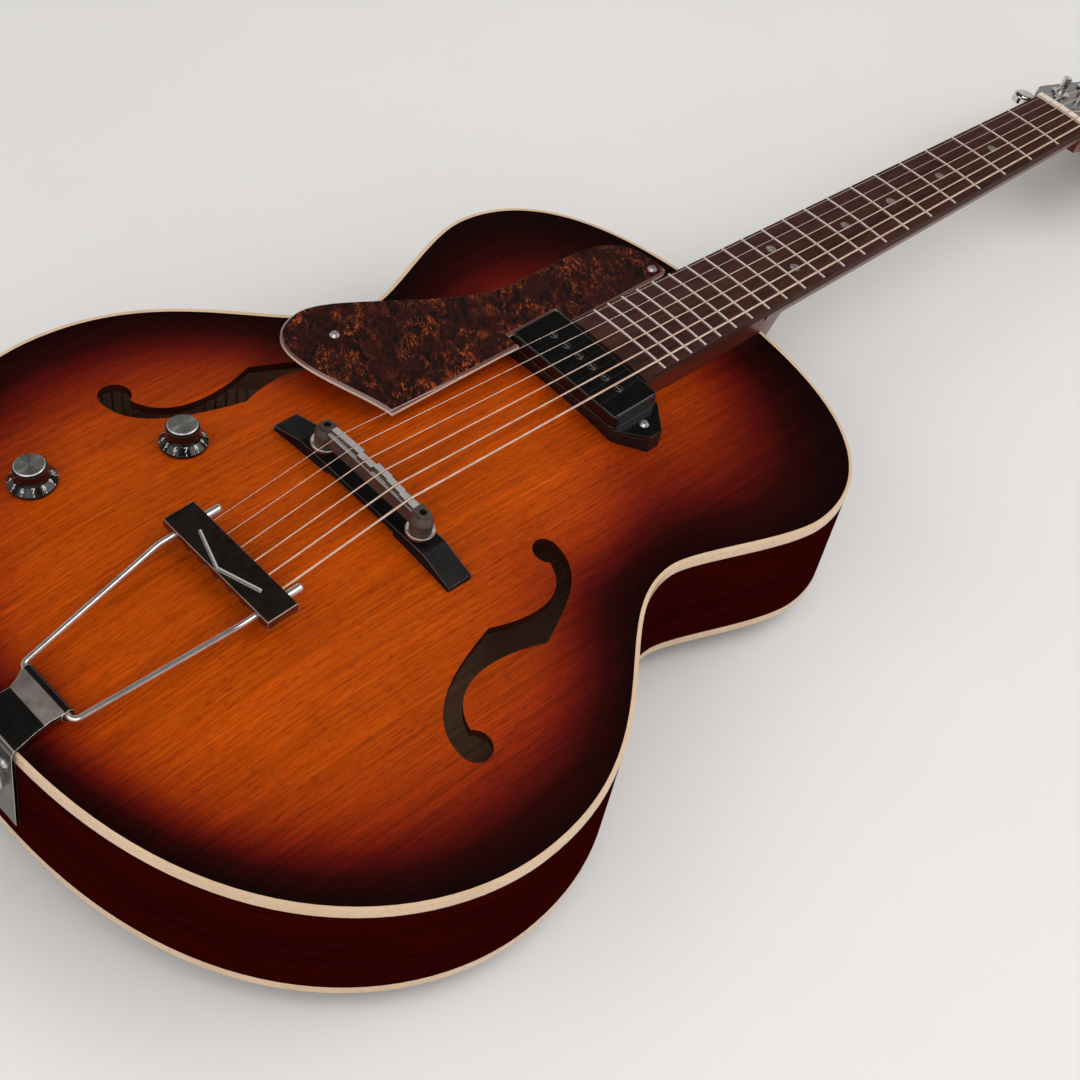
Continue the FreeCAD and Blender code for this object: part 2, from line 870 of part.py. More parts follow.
def guard_screw_places():
    """The two screws of the pickguard, as x and distance from its tip."""
    neck_screw = n.guard_neck_ahead - n.guard_tip_ahead - n.screw_head_radius * 2.5
    return [(-GUARD_SCREW_OUT, GUARD_SCREW_AHEAD), (-n.guard_string_edge - n.screw_head_radius, neck_screw)]


def guard_outline(inset, height):
    """The closed edge of the pickguard at a height, drawn in by an inset where it is bevelled."""
    length = n.guard_neck_ahead - n.guard_tip_ahead
    edge = -n.guard_string_edge - inset
    board_edge = -board_half_width(n.board_length) - n.guard_gap - inset
    pickup_back = pickup_ahead - n.cover_half_width - n.guard_gap - n.guard_tip_ahead - inset
    pickup_front = pickup_ahead + n.cover_half_width + n.guard_gap - n.guard_tip_ahead + inset
    pickup_end = -n.cover_half_length - n.guard_gap - inset
    inwards = Vector(inset, 0, 0)
    forwards = Vector(0, inset, 0)
    tip = Vector(edge, inset, 0)
    heel = GUARD_HEEL + inwards
    crest = GUARD_CREST + inwards
    neck = Vector(board_edge - GUARD_NECK_FLAT, length - inset, 0)
    round_start = Vector(board_edge, length - GUARD_NECK_ROUND, 0)
    spans = [
        [tip, GUARD_TIP_HANDLE + forwards, GUARD_HEEL_HANDLES[0] + inwards + forwards, heel],
        [heel, GUARD_HEEL_HANDLES[1] + inwards, GUARD_CREST_HANDLES[0] + inwards, crest],
        [crest, GUARD_CREST_HANDLES[1] + inwards,
         Vector(inset - GUARD_NECK_HANDLE_OUT, length + GUARD_NECK_OVERRUN, 0), neck],
        [neck, Vector(board_edge, length - inset, 0), Vector(board_edge, length - GUARD_NECK_ROUND / 2, 0),
         round_start],
    ]
    trail = [round_start, Vector(board_edge, pickup_front, 0), Vector(pickup_end, pickup_front, 0),
             Vector(pickup_end, pickup_back, 0), Vector(edge, pickup_back, 0), tip]
    edges = [bezier(span) for span in spans]
    edges += [Part.LineSegment(a, b).toShape() for a, b in zip(trail, trail[1:])]
    return Part.Wire(edges).translated(Vector(0, 0, height))


tail_screws = bracket_screws()
all_screws = pickup_screws() + guard_screws() + tail_screws + head_screws()
screws = publish(solid(Part.makeCompound(all_screws)), "screws")

# Strings

string_numbers = range(1, STRING_COUNT + 1)
gauges = {number: getattr(n, "string_%d_gauge" % number) for number in string_numbers}
WRAP_TURN = 300.0
ANCHOR_BELOW_PLATE = 2.1


def string_share(number):
    """Place of a string across its spread, from -0.5 on the treble side to 0.5 on the bass side."""
    return (number - 1) / (STRING_COUNT - 1) - 0.5


def crown(x):
    """Drop of the fingerboard's round away from its middle."""
    return x ** 2 / (2 * n.board_radius)


def saddle_point(number):
    """Where the middle of a string crosses the saddle."""
    x = n.saddle_string_spread * string_share(number)
    return Vector(x, -n.bridge_behind, n.fret_plane_at_saddle + n.string_lift_saddle - crown(x))


def nut_point(number):
    """Where the middle of a string crosses the nut."""
    x = n.nut_string_spread * string_share(number)
    return neck_frame.multVec(Vector(x, n.nut_thickness / 2, n.string_lift_nut - crown(x)))


def anchor_point(number):
    """Where a string meets the front wall of the tailpiece bar, inside it."""
    x = n.saddle_string_spread * string_share(number)
    return bar_frame.multVec(Vector(x, n.bar_depth / 2 - n.bar_plate, -n.bar_plate - ANCHOR_BELOW_PLATE))


def wrap_path(number):
    """Where a string leaves its post, and the arcs of its turn round it, from the free end."""
    radius = n.post_radius + n.free_gap + gauges[number] / 2
    middle = head_frame.multVec(post_place(number) + Vector(0, 0, n.head_veneer + n.post_height * 0.45))
    start = nut_point(number)
    ahead = middle - start
    distance = ahead.Length
    ahead.normalize()
    inward = X_AXIS * -math.copysign(1, post_place(number).x)
    inward = (inward - ahead * inward.dot(ahead)).normalize()
    opening = math.acos(radius / distance)
    spoke = (inward * math.sin(opening) - ahead * math.cos(opening)) * radius
    spin_axis = spoke.cross(ahead)

    def ring_point(turn):
        return middle + Rotation(spin_axis, turn).multVec(spoke)

    halves = [Part.Arc(ring_point(WRAP_TURN), ring_point(0.75 * WRAP_TURN), ring_point(0.5 * WRAP_TURN)),
              Part.Arc(ring_point(0.5 * WRAP_TURN), ring_point(0.25 * WRAP_TURN), ring_point(0))]
    return ring_point(0), [half.toShape() for half in halves]


def wrap_touch(number):
    """Where a string meets the round of its post."""
    return wrap_path(number)[0]


def make_string(number):
    """One string from its turn round the post over the nut and saddle to its ball end."""
    radius = gauges[number] / 2
    touch, turn = wrap_path(number)
    anchor = anchor_point(number)
    direction = (anchor - saddle_point(number)).normalize()
    end = anchor + direction * n.ball_length
    route = [touch, nut_point(number), saddle_point(number), end]
    run = rounded_path(route, [n.string_bend, n.string_bend])
    seat = anchor + direction * n.free_gap * 2
    ball = bar(n.ball_radius, seat, seat + direction * n.ball_length)
    return tube(turn + run, radius).fuse(ball).removeSplitter()


strings = {number: make_string(number) for number in string_numbers}
plain_set = Part.makeCompound([strings[number] for number in PLAIN_STRINGS])
wound_set = Part.makeCompound([strings[number] for number in WOUND_STRINGS])
plain_strings = publish(solid(plain_set), "plain_strings")
wound_strings = publish(solid(wound_set), "wound_strings")

# Sound holes

SOUND_HOLE_NICK = Vector(-10.5, -8.9, 0)
SOUND_HOLE_EYE = Vector(-30.3, 50.6, 0)
SOUND_HOLE_JOIN_ANGLE = -28.0
SOUND_HOLE_TOP_ANGLE = -260.0
SOUND_HOLE_INNER_HANDLES = (Vector(-2, 14, 0), Vector(-1, 42, 0))
SOUND_HOLE_OUTER_HANDLES = (Vector(-8, 60.5, 0), Vector(2, 34, 0))


def sound_hole(side):
    """A block through the soundboard in the shape of one f-hole."""
    growth = n.sound_hole_growth

    def eye_point(degrees):
        angle = math.radians(degrees)
        return SOUND_HOLE_EYE + Vector(math.cos(angle), math.sin(angle), 0) * n.sound_hole_eye

    join = eye_point(SOUND_HOLE_JOIN_ANGLE)
    top = eye_point(SOUND_HOLE_TOP_ANGLE)
    eye_middle = eye_point((SOUND_HOLE_JOIN_ANGLE + SOUND_HOLE_TOP_ANGLE) / 2)
    inner = [SOUND_HOLE_NICK, *SOUND_HOLE_INNER_HANDLES, join]
    outer = [top, *SOUND_HOLE_OUTER_HANDLES, SOUND_HOLE_NICK * -growth]
    edges = []
    for factor in (1.0, -growth):
        edges.append(bezier([pole * factor for pole in inner]))
        edges.append(Part.Arc(join * factor, eye_middle * factor, top * factor).toShape())
        last = outer[-1] * factor if factor == 1.0 else SOUND_HOLE_NICK
        edges.append(bezier([pole * factor for pole in outer[:-1]] + [last]))
    face = Part.Face(Part.Wire(edges)).translated(Vector(n.sound_hole_out, -n.sound_hole_back, -DEEP))
    prism = face.extrude(Vector(0, 0, 2 * DEEP))
    return prism if side > 0 else prism.mirror(Vector(), X_AXIS)


# Body box

well_half_length = n.baseplate_half_length + n.well_margin
well_half_width = n.baseplate_half_width + n.well_margin
pickup_well = block(Vector(-well_half_length, pickup_ahead - well_half_width, -DEEP),
                    Vector(well_half_length, pickup_ahead + well_half_width, DEEP))
pot_bore = Part.makeCylinder(n.pot_bushing_radius, 2 * DEEP, Vector(0, 0, -DEEP))
jack_start = Vector(0, -n.tail_behind - DEEP / 2, -n.jack_below_rim)
jack_bore = Part.makeCylinder(n.jack_barrel_radius, DEEP, jack_start, Y_AXIS)
tail_bores = [bar(n.screw_radius, Vector(x, -n.tail_behind - DEEP, -drop),
                  Vector(x, DEEP - n.tail_behind, -drop))
              for x, drop in bracket_screw_places()]
tenon_foot = -n.tenon_below_rim - n.tenon_height
tenon = block(Vector(-n.tenon_width / 2, n.shoulder_ahead - n.tenon_length, tenon_foot),
              Vector(n.tenon_width / 2, n.shoulder_ahead + n.heel_foot_length / 2, -n.tenon_below_rim))


def top_plate():
    """The arched soundboard with its sound holes, pickup well and control holes."""
    slab = top_face.extrude(Vector(0, 0, -n.top_thickness))
    plate = slab.common(outline_prism(n.binding_thickness, -DEEP, DEEP))
    openings = [sound_hole(1), sound_hole(-1), pickup_well, moved(pot_bore, volume_frame),
                moved(pot_bore, tone_frame), screws.Shape]
    return plate.cut(openings)


def side_wall():
    """The bass rib, rebated for both bindings and cut for the tenon, the jack and the bracket screws."""
    top_ledge = -n.top_binding_height
    back_ledge = -n.rim_depth + n.back_binding_height
    wall = half_ring(0, n.rim_thickness, back_ledge, top_ledge)
    upper = half_ring(n.binding_thickness, n.rim_thickness, top_ledge, -n.top_thickness)
    lower = half_ring(n.binding_thickness, n.rim_thickness, -n.rim_depth + n.back_thickness, back_ledge)
    return wall.fuse([upper, lower]).removeSplitter().cut([tenon, jack_bore] + tail_bores)


def rib_lengths(wall):
    """The rib in eight lengths, each half of one span of the outline, so that each bends little."""
    reach = 2 * n.lower_half_width
    levels = [-n.tail_behind - DEEP]
    for span in half_outline():
        levels += [span_point(span, 0.5).y, span[-1].y]
    levels[-1] = n.shoulder_ahead + DEEP
    return Part.makeCompound([wall.common(block(Vector(-reach, low, -DEEP), Vector(reach, high, DEEP)))
                              for low, high in zip(levels, levels[1:])])


def ring(outer_inset, inner_inset, low, high):
    """A closed wall between two set-in outlines."""
    return outline_prism(outer_inset, low, high).cut(outline_prism(inner_inset, low, high))


side_bass = rib_lengths(side_wall())
publish(solid(top_plate()), "top_plate")
back_slab = back_face.extrude(Vector(0, 0, n.back_thickness))
publish(solid(back_slab.common(outline_prism(n.binding_thickness, -DEEP, DEEP))), "back_plate")
publish(solid(side_bass), "side_bass")
publish(solid(side_bass.mirror(Vector(), X_AXIS)), "side_treble")
bindings = [ring(0, n.binding_thickness, -n.top_binding_height, 0),
            ring(0, n.binding_thickness, -n.rim_depth, -n.rim_depth + n.back_binding_height)]
publish(solid(Part.makeCompound(bindings)), "binding")

chamber_space = solid(chamber, "Chamber")
screw_tools = solid(screws.Shape, "ScrewTools")
neck_blank = box(s.neck_block_width, s.neck_block_length, s.rim_depth + s.back_arch + s.top_arch,
                 -s.neck_block_width / 2, s.shoulder_ahead - s.neck_block_length, -s.rim_depth - s.back_arch)
end_blank = box(s.end_block_width, s.end_block_length, s.rim_depth + s.back_arch + s.top_arch,
                -s.end_block_width / 2, -s.tail_behind, -s.rim_depth - s.back_arch)
tenon_tool = solid(tenon, "TenonTool")
jack_tool = solid(jack_bore, "JackTool")
publish(cut(common(neck_blank, chamber_space), tenon_tool), "neck_block")
publish(cut(common(end_blank, chamber_space), jack_tool, screw_tools), "end_block")


def linings():
    """The kerfed strips inside the rim, between the two blocks."""
    inner = n.rim_thickness + n.lining_width
    ceiling = -n.top_thickness - n.glue_gap
    high = ring(n.rim_thickness, inner, ceiling - n.lining_height, ceiling)
    floor = -n.rim_depth + n.back_thickness + n.glue_gap
    low = ring(n.rim_thickness, inner, floor, floor + n.lining_height)
    doc.recompute()
    blocks = [neck_blank.Shape, end_blank.Shape]
    return Part.makeCompound([high.cut(blocks), low.cut(blocks)])


publish(solid(linings()), "linings")
bars = [box(s.tone_bar_width, s.tone_bar_ahead + s.tone_bar_behind, s.top_arch,
            middle - s.tone_bar_width / 2, -s.tone_bar_behind, 0)
        for middle in (s.tone_bar_offset, -s.tone_bar_offset)]
publish(common(fuse(*bars), chamber_space), "tone_bars")

# Neck

HEEL_SECTIONS = 5
HEEL_SWEEP = 2.4
TONGUE_INSET = 1.0
HEAD_ROOT = 6.0


def rounded_section(half, depth, y, z):
    """A neck section: flat on the board side, round at the back."""
    left = Vector(-half, y, z)
    right = Vector(half, y, z)
    low = Vector(0, 0, -depth * 4 / 3)
    flat = Part.LineSegment(left, right).toShape()
    return Part.Wire([flat, bezier([right, right + low, left + low, left])])


def heel_section(share):
    """A level section of the heel, from its foot at share 0 to the board at share 1."""
    foot = -n.rim_depth
    head = neck_frame.multVec(Vector(0, -board_joint, board_seat)).z
    half = n.heel_foot_half_width + (n.heel_half_width - n.heel_foot_half_width) * share
    length = n.heel_foot_length + (n.heel_length - n.heel_foot_length) * share ** HEEL_SWEEP
    z = foot + (head - foot) * share
    inside = n.shoulder_ahead - n.tenon_length / 2
    left = Vector(-half, n.shoulder_ahead, z)
    right = Vector(half, n.shoulder_ahead, z)
    bulge = Vector(0, length * 4 / 3, 0)
    inner_left = Vector(-half, inside, z)
    inner_right = Vector(half, inside, z)
    return Part.Wire([
        Part.LineSegment(inner_left, inner_right).toShape(), Part.LineSegment(inner_right, right).toShape(),
        bezier([right, right + bulge, left + bulge, left]), Part.LineSegment(left, inner_left).toShape()])


HEAD_CREST_DEPTH = 20.0
HEAD_CREST_HANDLES = (Vector(-2.0, 14.0, 0), Vector(14.0, 0, 0))


def head_face():
    """The outline of the head, with a plain rounded crest."""
    neck_half = board_half_width(0)
    shoulder = n.first_post - n.bushing_flange
    flare = shoulder * 0.45
    widest = Vector(n.head_half_width, shoulder, 0)
    corner = Vector(n.head_top_half_width, n.head_length - HEAD_CREST_DEPTH, 0)
    crest = Vector(0, n.head_length, 0)
    root = Vector(neck_half, 0, 0)
    bass = [[root, Vector(neck_half, flare, 0), Vector(n.head_half_width, flare, 0), widest],
            [widest, corner],
            [corner, corner + HEAD_CREST_HANDLES[0], crest + HEAD_CREST_HANDLES[1], crest]]
    treble = [[mirrored(pole) for pole in reversed(span)] for span in reversed(bass)]
    edges = [bezier(span) for span in bass + treble]
    edges.append(Part.LineSegment(Vector(-neck_half, 0, 0), Vector(neck_half, 0, 0)).toShape())
    return Part.Face(Part.Wire(edges))


board_joint = (nut_line.y - n.shoulder_ahead) / math.cos(pitch)
rod_line = board_seat - n.truss_rod_depth
ROD_NUT_CLEAR = 1.0
ROD_POCKET_REACH = 0.6
rod_nut_start = n.nut_thickness + ROD_NUT_CLEAR
truss_channel = bar(n.truss_rod_radius, Vector(0, -board_joint, rod_line), Vector(0, rod_nut_start, rod_line))
truss_pocket = bar(n.truss_nut_radius + n.free_gap, Vector(0, rod_nut_start, rod_line),
                   Vector(0, rod_nut_start + n.head_cover_length * ROD_POCKET_REACH, rod_line))
post_bores = Part.makeCompound([
    Part.makeCylinder(n.bushing_radius, 2 * n.head_thickness,
                      post_place(number) + Vector(0, 0, -1.5 * n.head_thickness))
    for number in string_numbers])


def neck():
    """Shaft, heel, tongue under the board, tenon and head as one piece of wood."""
    sections = [rounded_section(board_half_width(0), n.neck_depth_nut, n.nut_thickness, board_seat),
                rounded_section(board_half_width(board_joint), n.neck_depth_heel, -board_joint, board_seat)]
    shaft = moved(Part.makeLoft(sections, True, True), neck_frame)
    shares = [index / (HEEL_SECTIONS - 1) for index in range(HEEL_SECTIONS)]
    heel = Part.makeLoft([heel_section(share) for share in shares], True, False)
    near = board_half_width(board_joint) - TONGUE_INSET
    far = board_half_width(n.board_length) - TONGUE_INSET
    corners = [Vector(-near, -board_joint, board_seat), Vector(near, -board_joint, board_seat),
               Vector(far, -n.board_length, board_seat), Vector(-far, -n.board_length, board_seat)]
    tongue = Part.Face(Part.makePolygon(corners + corners[:1])).extrude(Vector(0, 0, -2 * n.top_arch))
    tongue = moved(tongue, neck_frame).cut(under_top)
    body_space = outline_prism(0, -2 * DEEP, DEEP).common(under_top)
    above_board = block(Vector(-n.lower_half_width, -2 * n.board_length, board_seat),
                        Vector(n.lower_half_width, n.nut_thickness, DEEP))
    plank = head_face().extrude(Vector(0, 0, -n.head_thickness))
    half = board_half_width(0)
    root = block(Vector(-half, -HEAD_ROOT, -n.head_thickness), Vector(half, 0, 0))
    head = moved(plank.fuse(root).removeSplitter(), head_frame)
    outside = shaft.fuse([heel, head]).cut([body_space, moved(above_board, neck_frame)])
    whole = outside.fuse([tongue, tenon.cut(under_top)]).removeSplitter()
    holes = [moved(truss_channel, neck_frame), moved(truss_pocket, neck_frame), moved(post_bores, head_frame),
             screws.Shape]
    return whole.cut(holes)


publish(solid(neck()), "neck")
veneer = head_face().translated(Vector(0, n.free_gap, 0)).extrude(Vector(0, 0, n.head_veneer))
veneer = moved(veneer.cut(post_bores), head_frame)
publish(solid(veneer.cut([moved(truss_pocket, neck_frame), screws.Shape])), "head_veneer")

rod = bar(n.truss_rod_radius, Vector(0, -board_joint + 1, rod_line),
          Vector(0, rod_nut_start + n.truss_nut_length, rod_line))
rod_nut = bar(n.truss_nut_radius, Vector(0, rod_nut_start, rod_line),
              Vector(0, rod_nut_start + n.truss_nut_length, rod_line))
publish(solid(moved(rod.fuse(rod_nut).removeSplitter(), neck_frame)), "truss_rod")

# Head cover: a plate that hides the truss rod nut
cover_plate = new_body()
cover_outline = polygon(cover_plate, "XY_Plane", [
    (-s.head_cover_half_width, s.free_gap), (s.head_cover_half_width, s.free_gap),
    (s.head_cover_half_width * 0.8, s.head_cover_length * 0.45),
    (s.head_cover_half_width * 0.3, s.head_cover_length + s.free_gap),
    (s.head_cover_half_width * -0.3, s.head_cover_length + s.free_gap),
    (s.head_cover_half_width * -0.8, s.head_cover_length * 0.45)])
pad(cover_plate, cover_outline, s.head_cover_thickness)
cover_plate.Placement = head_frame.multiply(Placement(Vector(0, 0, n.head_veneer), Rotation()))
publish(cut(cover_plate, screw_tools), "truss_rod_cover")

# Fingerboard, frets, dots and nut


def fret_distance(number):
    """How far a fret lies from the nut."""
    return n.scale_length * (1 - 2 ** (-number / 12))


def fret(number):
    """One fret: a round crown and a tang, bent to the board's radius."""
    y = -fret_distance(number)
    half = n.fret_width / 2
    tang = n.fret_tang_width / 2
    foot = -n.fret_height - n.fret_tang_depth
    crown_arc = Part.Arc(Vector(0, y - half, -n.fret_height), Vector(0, y, 0),
                         Vector(0, y + half, -n.fret_height))
    trail = [Vector(0, y + half, -n.fret_height), Vector(0, y + tang, -n.fret_height),
             Vector(0, y + tang, foot), Vector(0, y - tang, foot),
             Vector(0, y - tang, -n.fret_height), Vector(0, y - half, -n.fret_height)]
    edges = [crown_arc.toShape()] + [Part.LineSegment(a, b).toShape() for a, b in zip(trail, trail[1:])]
    face = Part.Face(Part.Wire(edges))
    centre = Vector(0, 0, -n.fret_height - n.board_radius)
    swing = math.degrees(math.asin((board_half_width(-y) - n.free_gap) / n.board_radius))
    face.rotate(centre, Y_AXIS, -swing)
    return face.revolve(centre, Y_AXIS, 2 * swing)


def dot(x, number):
    """One position dot, a disc through the board's face between two frets."""
    y = -(fret_distance(number) + fret_distance(number - 1)) / 2
    foot = Vector(x, y, -n.fret_height - n.dot_depth)
    return Part.makeCylinder(n.dot_radius, n.dot_depth + n.fret_height + 1, foot)


frets = Part.makeCompound([fret(number) for number in range(1, FRET_COUNT + 1)])
board_body = new_body()
board_outline = polygon(board_body, "XY_Plane", [
    (-s.nut_width / 2, 0), (s.nut_width / 2, 0), (s.board_end_width / 2, -s.board_length),
    (-s.board_end_width / 2, -s.board_length)])
pad(board_body, board_outline, s.board_thickness)
board_body.Placement = Placement(Vector(0, 0, board_seat), Rotation())
board_round = cylinder(s.board_radius, s.board_length + s.nut_thickness, 0, s.nut_thickness,
                       -s.fret_height - s.board_radius, -Y_AXIS)
rounded_board = common(board_body, board_round)
doc.recompute()
dots = [dot(0, number) for number in SINGLE_DOT_FRETS]
dots += [dot(side * n.dot_pair_spread / 2, DOUBLE_DOT_FRET) for side in (-1, 1)]
dots = Part.makeCompound(dots).common(rounded_board.Shape)
fret_tool = solid(frets, "FretTool")
dot_tool = solid(dots, "DotTool")
fingerboard = publish(cut(rounded_board, fret_tool, dot_tool), "fingerboard")
fingerboard.Placement = neck_frame
publish(solid(moved(frets, neck_frame)), "frets")
publish(solid(moved(dots, neck_frame)), "position_dots")

nut_blank = box(s.nut_width, s.nut_thickness, s.board_thickness + s.fret_height + s.string_lift_nut,
                -s.nut_width / 2, 0, -s.fret_height - s.board_thickness)
nut_round = cylinder(s.board_radius, s.nut_thickness * 2, 0, s.nut_thickness * 2,
                     s.string_lift_nut - s.board_radius, -Y_AXIS)
nut_block = common(nut_blank, nut_round)
nut_block.Placement = neck_frame


def grooves(crossing, ends, gap):
    """Room for each string where it lies over the nut or the saddle, towards both of its ends."""
    tools = []
    for number in string_numbers:
        middle = crossing(number)
        radius = gauges[number] / 2 + gap
        for end in ends:
            run = (end(number) - middle).normalize()
            tools.append(solid(bar(radius, middle - run * gap, middle + run * 2 * n.bridge_width), "Groove"))
    return tools


nut_slots = grooves(nut_point, (wrap_touch, saddle_point), n.slot_gap)
publish(cut(nut_block, *nut_slots), "nut")

# Tuners

worm_place = n.gear_radius + n.worm_radius + n.mesh_gap
housing_middle = -n.head_thickness - n.housing_depth / 2


def housing(number):
    """A tuner housing, hollow towards the head, with a bore for the key and an ear for its screw."""
    side = math.copysign(1, post_place(number).x)
    half = max(n.gear_radius, n.worm_length / 2) + n.free_gap + n.housing_wall
    back = -n.gear_radius - n.free_gap - n.housing_wall
    front = worm_place + n.worm_radius + n.free_gap + n.housing_wall
    floor = -n.head_thickness - n.housing_depth
    ear_back = housing_ear_back() - n.small_screw_head_radius * 1.5
    shell = block(Vector(-half, back, floor), Vector(half, front, -n.head_thickness))
    ear = block(Vector(-n.small_screw_head_radius * 1.5, ear_back, -n.head_thickness - n.housing_wall),
                Vector(n.small_screw_head_radius * 1.5, back, -n.head_thickness))
    room_floor = Vector(0, 0, floor + n.housing_wall)
    gear_room = Part.makeCylinder(n.gear_radius + n.free_gap, n.housing_depth, room_floor)
    worm_half = n.worm_length / 2 + n.free_gap
    worm_room = block(Vector(-worm_half, 0, floor + n.housing_wall),
                      Vector(worm_half, worm_place + n.worm_radius + n.free_gap, -n.head_thickness))
    key_bore = bar(n.key_shaft_radius + n.running_gap, Vector(0, worm_place, housing_middle),
                   Vector(side * 2 * half, worm_place, housing_middle))
    case = shell.fuse(ear).removeSplitter().cut([gear_room, worm_room, key_bore])
    return moved(case.translated(post_place(number)), head_frame)


def key(number):
    """A tuner key: worm, shaft and oval button in one piece."""
    side = math.copysign(1, post_place(number).x)
    half = n.worm_length / 2
    worm = bar(n.worm_radius, Vector(-half, 0, 0), Vector(half, 0, 0))
    stem = bar(n.key_shaft_radius, Vector(), Vector(side * n.key_reach, 0, 0))
    ellipse = Part.Ellipse(Vector(), n.button_width / 2, n.button_length / 2)
    disc = Part.Face(Part.Wire([ellipse.toShape()])).extrude(Vector(0, 0, n.button_thickness))
    disc = disc.makeFillet(n.button_thickness * 0.4, disc.Edges[:1] + disc.Edges[-1:])
    disc.rotate(Vector(), Z_AXIS, 90)
    button = disc.translated(Vector(side * n.key_reach, 0, -n.button_thickness / 2))
    whole = worm.fuse([stem, button]).removeSplitter()
    return moved(whole.translated(post_place(number) + Vector(0, worm_place, housing_middle)), head_frame)


def post(number):
    """A string post with its gear."""
    low = housing_middle - n.gear_thickness / 2
    stem = Part.makeCylinder(n.post_radius, n.head_veneer + n.post_height - low, Vector(0, 0, low))
    gear = Part.makeCylinder(n.gear_radius, n.gear_thickness, Vector(0, 0, low))
    return moved(stem.fuse(gear).removeSplitter().translated(post_place(number)), head_frame)


def bushing(number):
    """The flanged sleeve that guides a post through the head."""
    sleeve_foot = Vector(0, 0, n.head_veneer - n.bushing_depth)
    sleeve = Part.makeCylinder(n.bushing_radius, n.bushing_depth, sleeve_foot)
    flange = Part.makeCylinder(n.bushing_flange, n.bushing_rim, Vector(0, 0, n.head_veneer))
    bore = Part.makeCylinder(n.post_radius + n.running_gap, 2 * n.bushing_depth,
                             Vector(0, 0, n.head_veneer - 1.5 * n.bushing_depth))
    return moved(sleeve.fuse(flange).removeSplitter().cut(bore).translated(post_place(number)), head_frame)


housings = Part.makeCompound([housing(number) for number in string_numbers])
publish(solid(housings.cut(screws.Shape)), "tuner_housings")
publish(solid(Part.makeCompound([bushing(number) for number in string_numbers])), "tuner_bushings")
for number in string_numbers:
    publish(solid(key(number)), "tuner_key_%d" % number)
    publish(solid(post(number)), "tuner_post_%d" % number)

# Pickguard

guard_straight = n.guard_thickness - n.guard_bevel
guard_foot = Part.Face(guard_outline(0.0, 0.0)).extrude(Vector(0, 0, guard_straight))
guard_wires = [guard_outline(0.0, guard_straight), guard_outline(n.guard_bevel, n.guard_thickness)]
guard_rim = Part.makeLoft(guard_wires, True, True)
guard_plate = guard_foot.fuse(guard_rim).removeSplitter()
publish(solid(moved(guard_plate, guard_frame).cut(screws.Shape)), "pickguard")


def standoff(x, y):
    """A block between the soundboard and the pickguard, reaching outwards from its screw."""
    seat = guard_frame.multVec(Vector(x, y, 0))
    half = n.standoff_width / 2
    low = Vector(seat.x + half - n.standoff_length, seat.y - half, seat.z - DEEP)
    return block(low, Vector(seat.x + half, seat.y + half, seat.z + half)).cut(under_top)


below_guard = Part.makeBox(2 * DEEP, 4 * DEEP, DEEP, Vector(-2 * DEEP, -DEEP, -DEEP))
standoffs = Part.makeCompound([standoff(x, y) for x, y in guard_screw_places()])
publish(solid(standoffs.common(moved(below_guard, guard_frame)).cut(screws.Shape)), "pickguard_standoffs")

# Pickup


def pickup_footprint(grow):
    """Bound corners of the pickup's base with its two ears."""
    reach = s.ear_reach + grow
    tip = s.ear_half_width + grow
    half = s.cover_half_width + grow
    end = s.cover_half_length + grow
    return [(-end, -half), (end, -half), (reach, -tip), (reach, tip),
            (end, half), (-end, half), (-reach, tip), (-reach, -tip)]


def rectangle(half_length, half_width):
    """Bound corners of a centred rectangle."""
    return [(-half_length, -half_width), (half_length, -half_width), (half_length, half_width),
            (-half_length, half_width)]


def upright_above_ears(edge):
    """Whether an edge is one of the four upright corners of the cover."""
    ends = [vertex.Point for vertex in edge.Vertexes]
    lowest = min(point.z for point in ends)
    return abs(ends[0].z - ends[-1].z) > n.ear_thickness and lowest > n.ear_thickness / 2


def on_cover_top(edge):
    """Whether an edge lies in the top of the cover."""
    return all(abs(vertex.Z - n.cover_height) < n.running_gap for vertex in edge.Vertexes)


pole_places = [s.pole_pitch * (index - (STRING_COUNT - 1) / 2) for index in range(STRING_COUNT)]
cover = new_body()
pad(cover, polygon(cover, "XY_Plane", pickup_footprint(0)), s.ear_thickness)
crown_block = rectangle(s.cover_half_length - s.free_gap, s.cover_half_width - s.free_gap)
cover_form = pad(cover, polygon(cover, "XY_Plane", crown_block), s.cover_height)
cover_form = round_over(cover, cover_form, s.cover_corner, upright_above_ears)
round_over(cover, cover_form, s.cover_edge, on_cover_top)
hollow = rectangle(s.cover_half_length - s.cover_wall, s.cover_half_width - s.cover_wall)
pocket(cover, polygon(cover, "XY_Plane", hollow), s.cover_height - s.cover_wall, True)
pole_holes = rounds(cover, "XY_Plane", [(x, 0, s.pole_radius + s.running_gap) for x in pole_places])
pocket(cover, pole_holes)
cover.Placement = pickup_frame
publish(cut(cover, screw_tools), "pickup_cover")

spacer = new_body()
pad(spacer, polygon(spacer, "XY_Plane", pickup_footprint(0)), cover_seat)
well = polygon(spacer, "XY_Plane", rectangle(s.baseplate_half_length + s.well_margin,
                                                 s.baseplate_half_width + s.well_margin))
pocket(spacer, well)
spacer.Placement = Placement(Vector(0, pickup_ahead, 0), Rotation())
publish(cut(spacer, solid(under_top, "UnderTop"), screw_tools), "pickup_spacer")

coil_base = s.cover_height - s.cover_wall - s.coil_height
coil = new_body()
pad(coil, polygon(coil, "XY_Plane", rectangle(s.coil_half_length, s.coil_half_width)), s.coil_height)
pocket(coil, rounds(coil, "XY_Plane", [(x, 0, s.pole_radius) for x in pole_places]))
coil.Placement = pickup_frame.multiply(Placement(Vector(0, 0, float(coil_base)), Rotation()))
publish(coil, "pickup_coil")

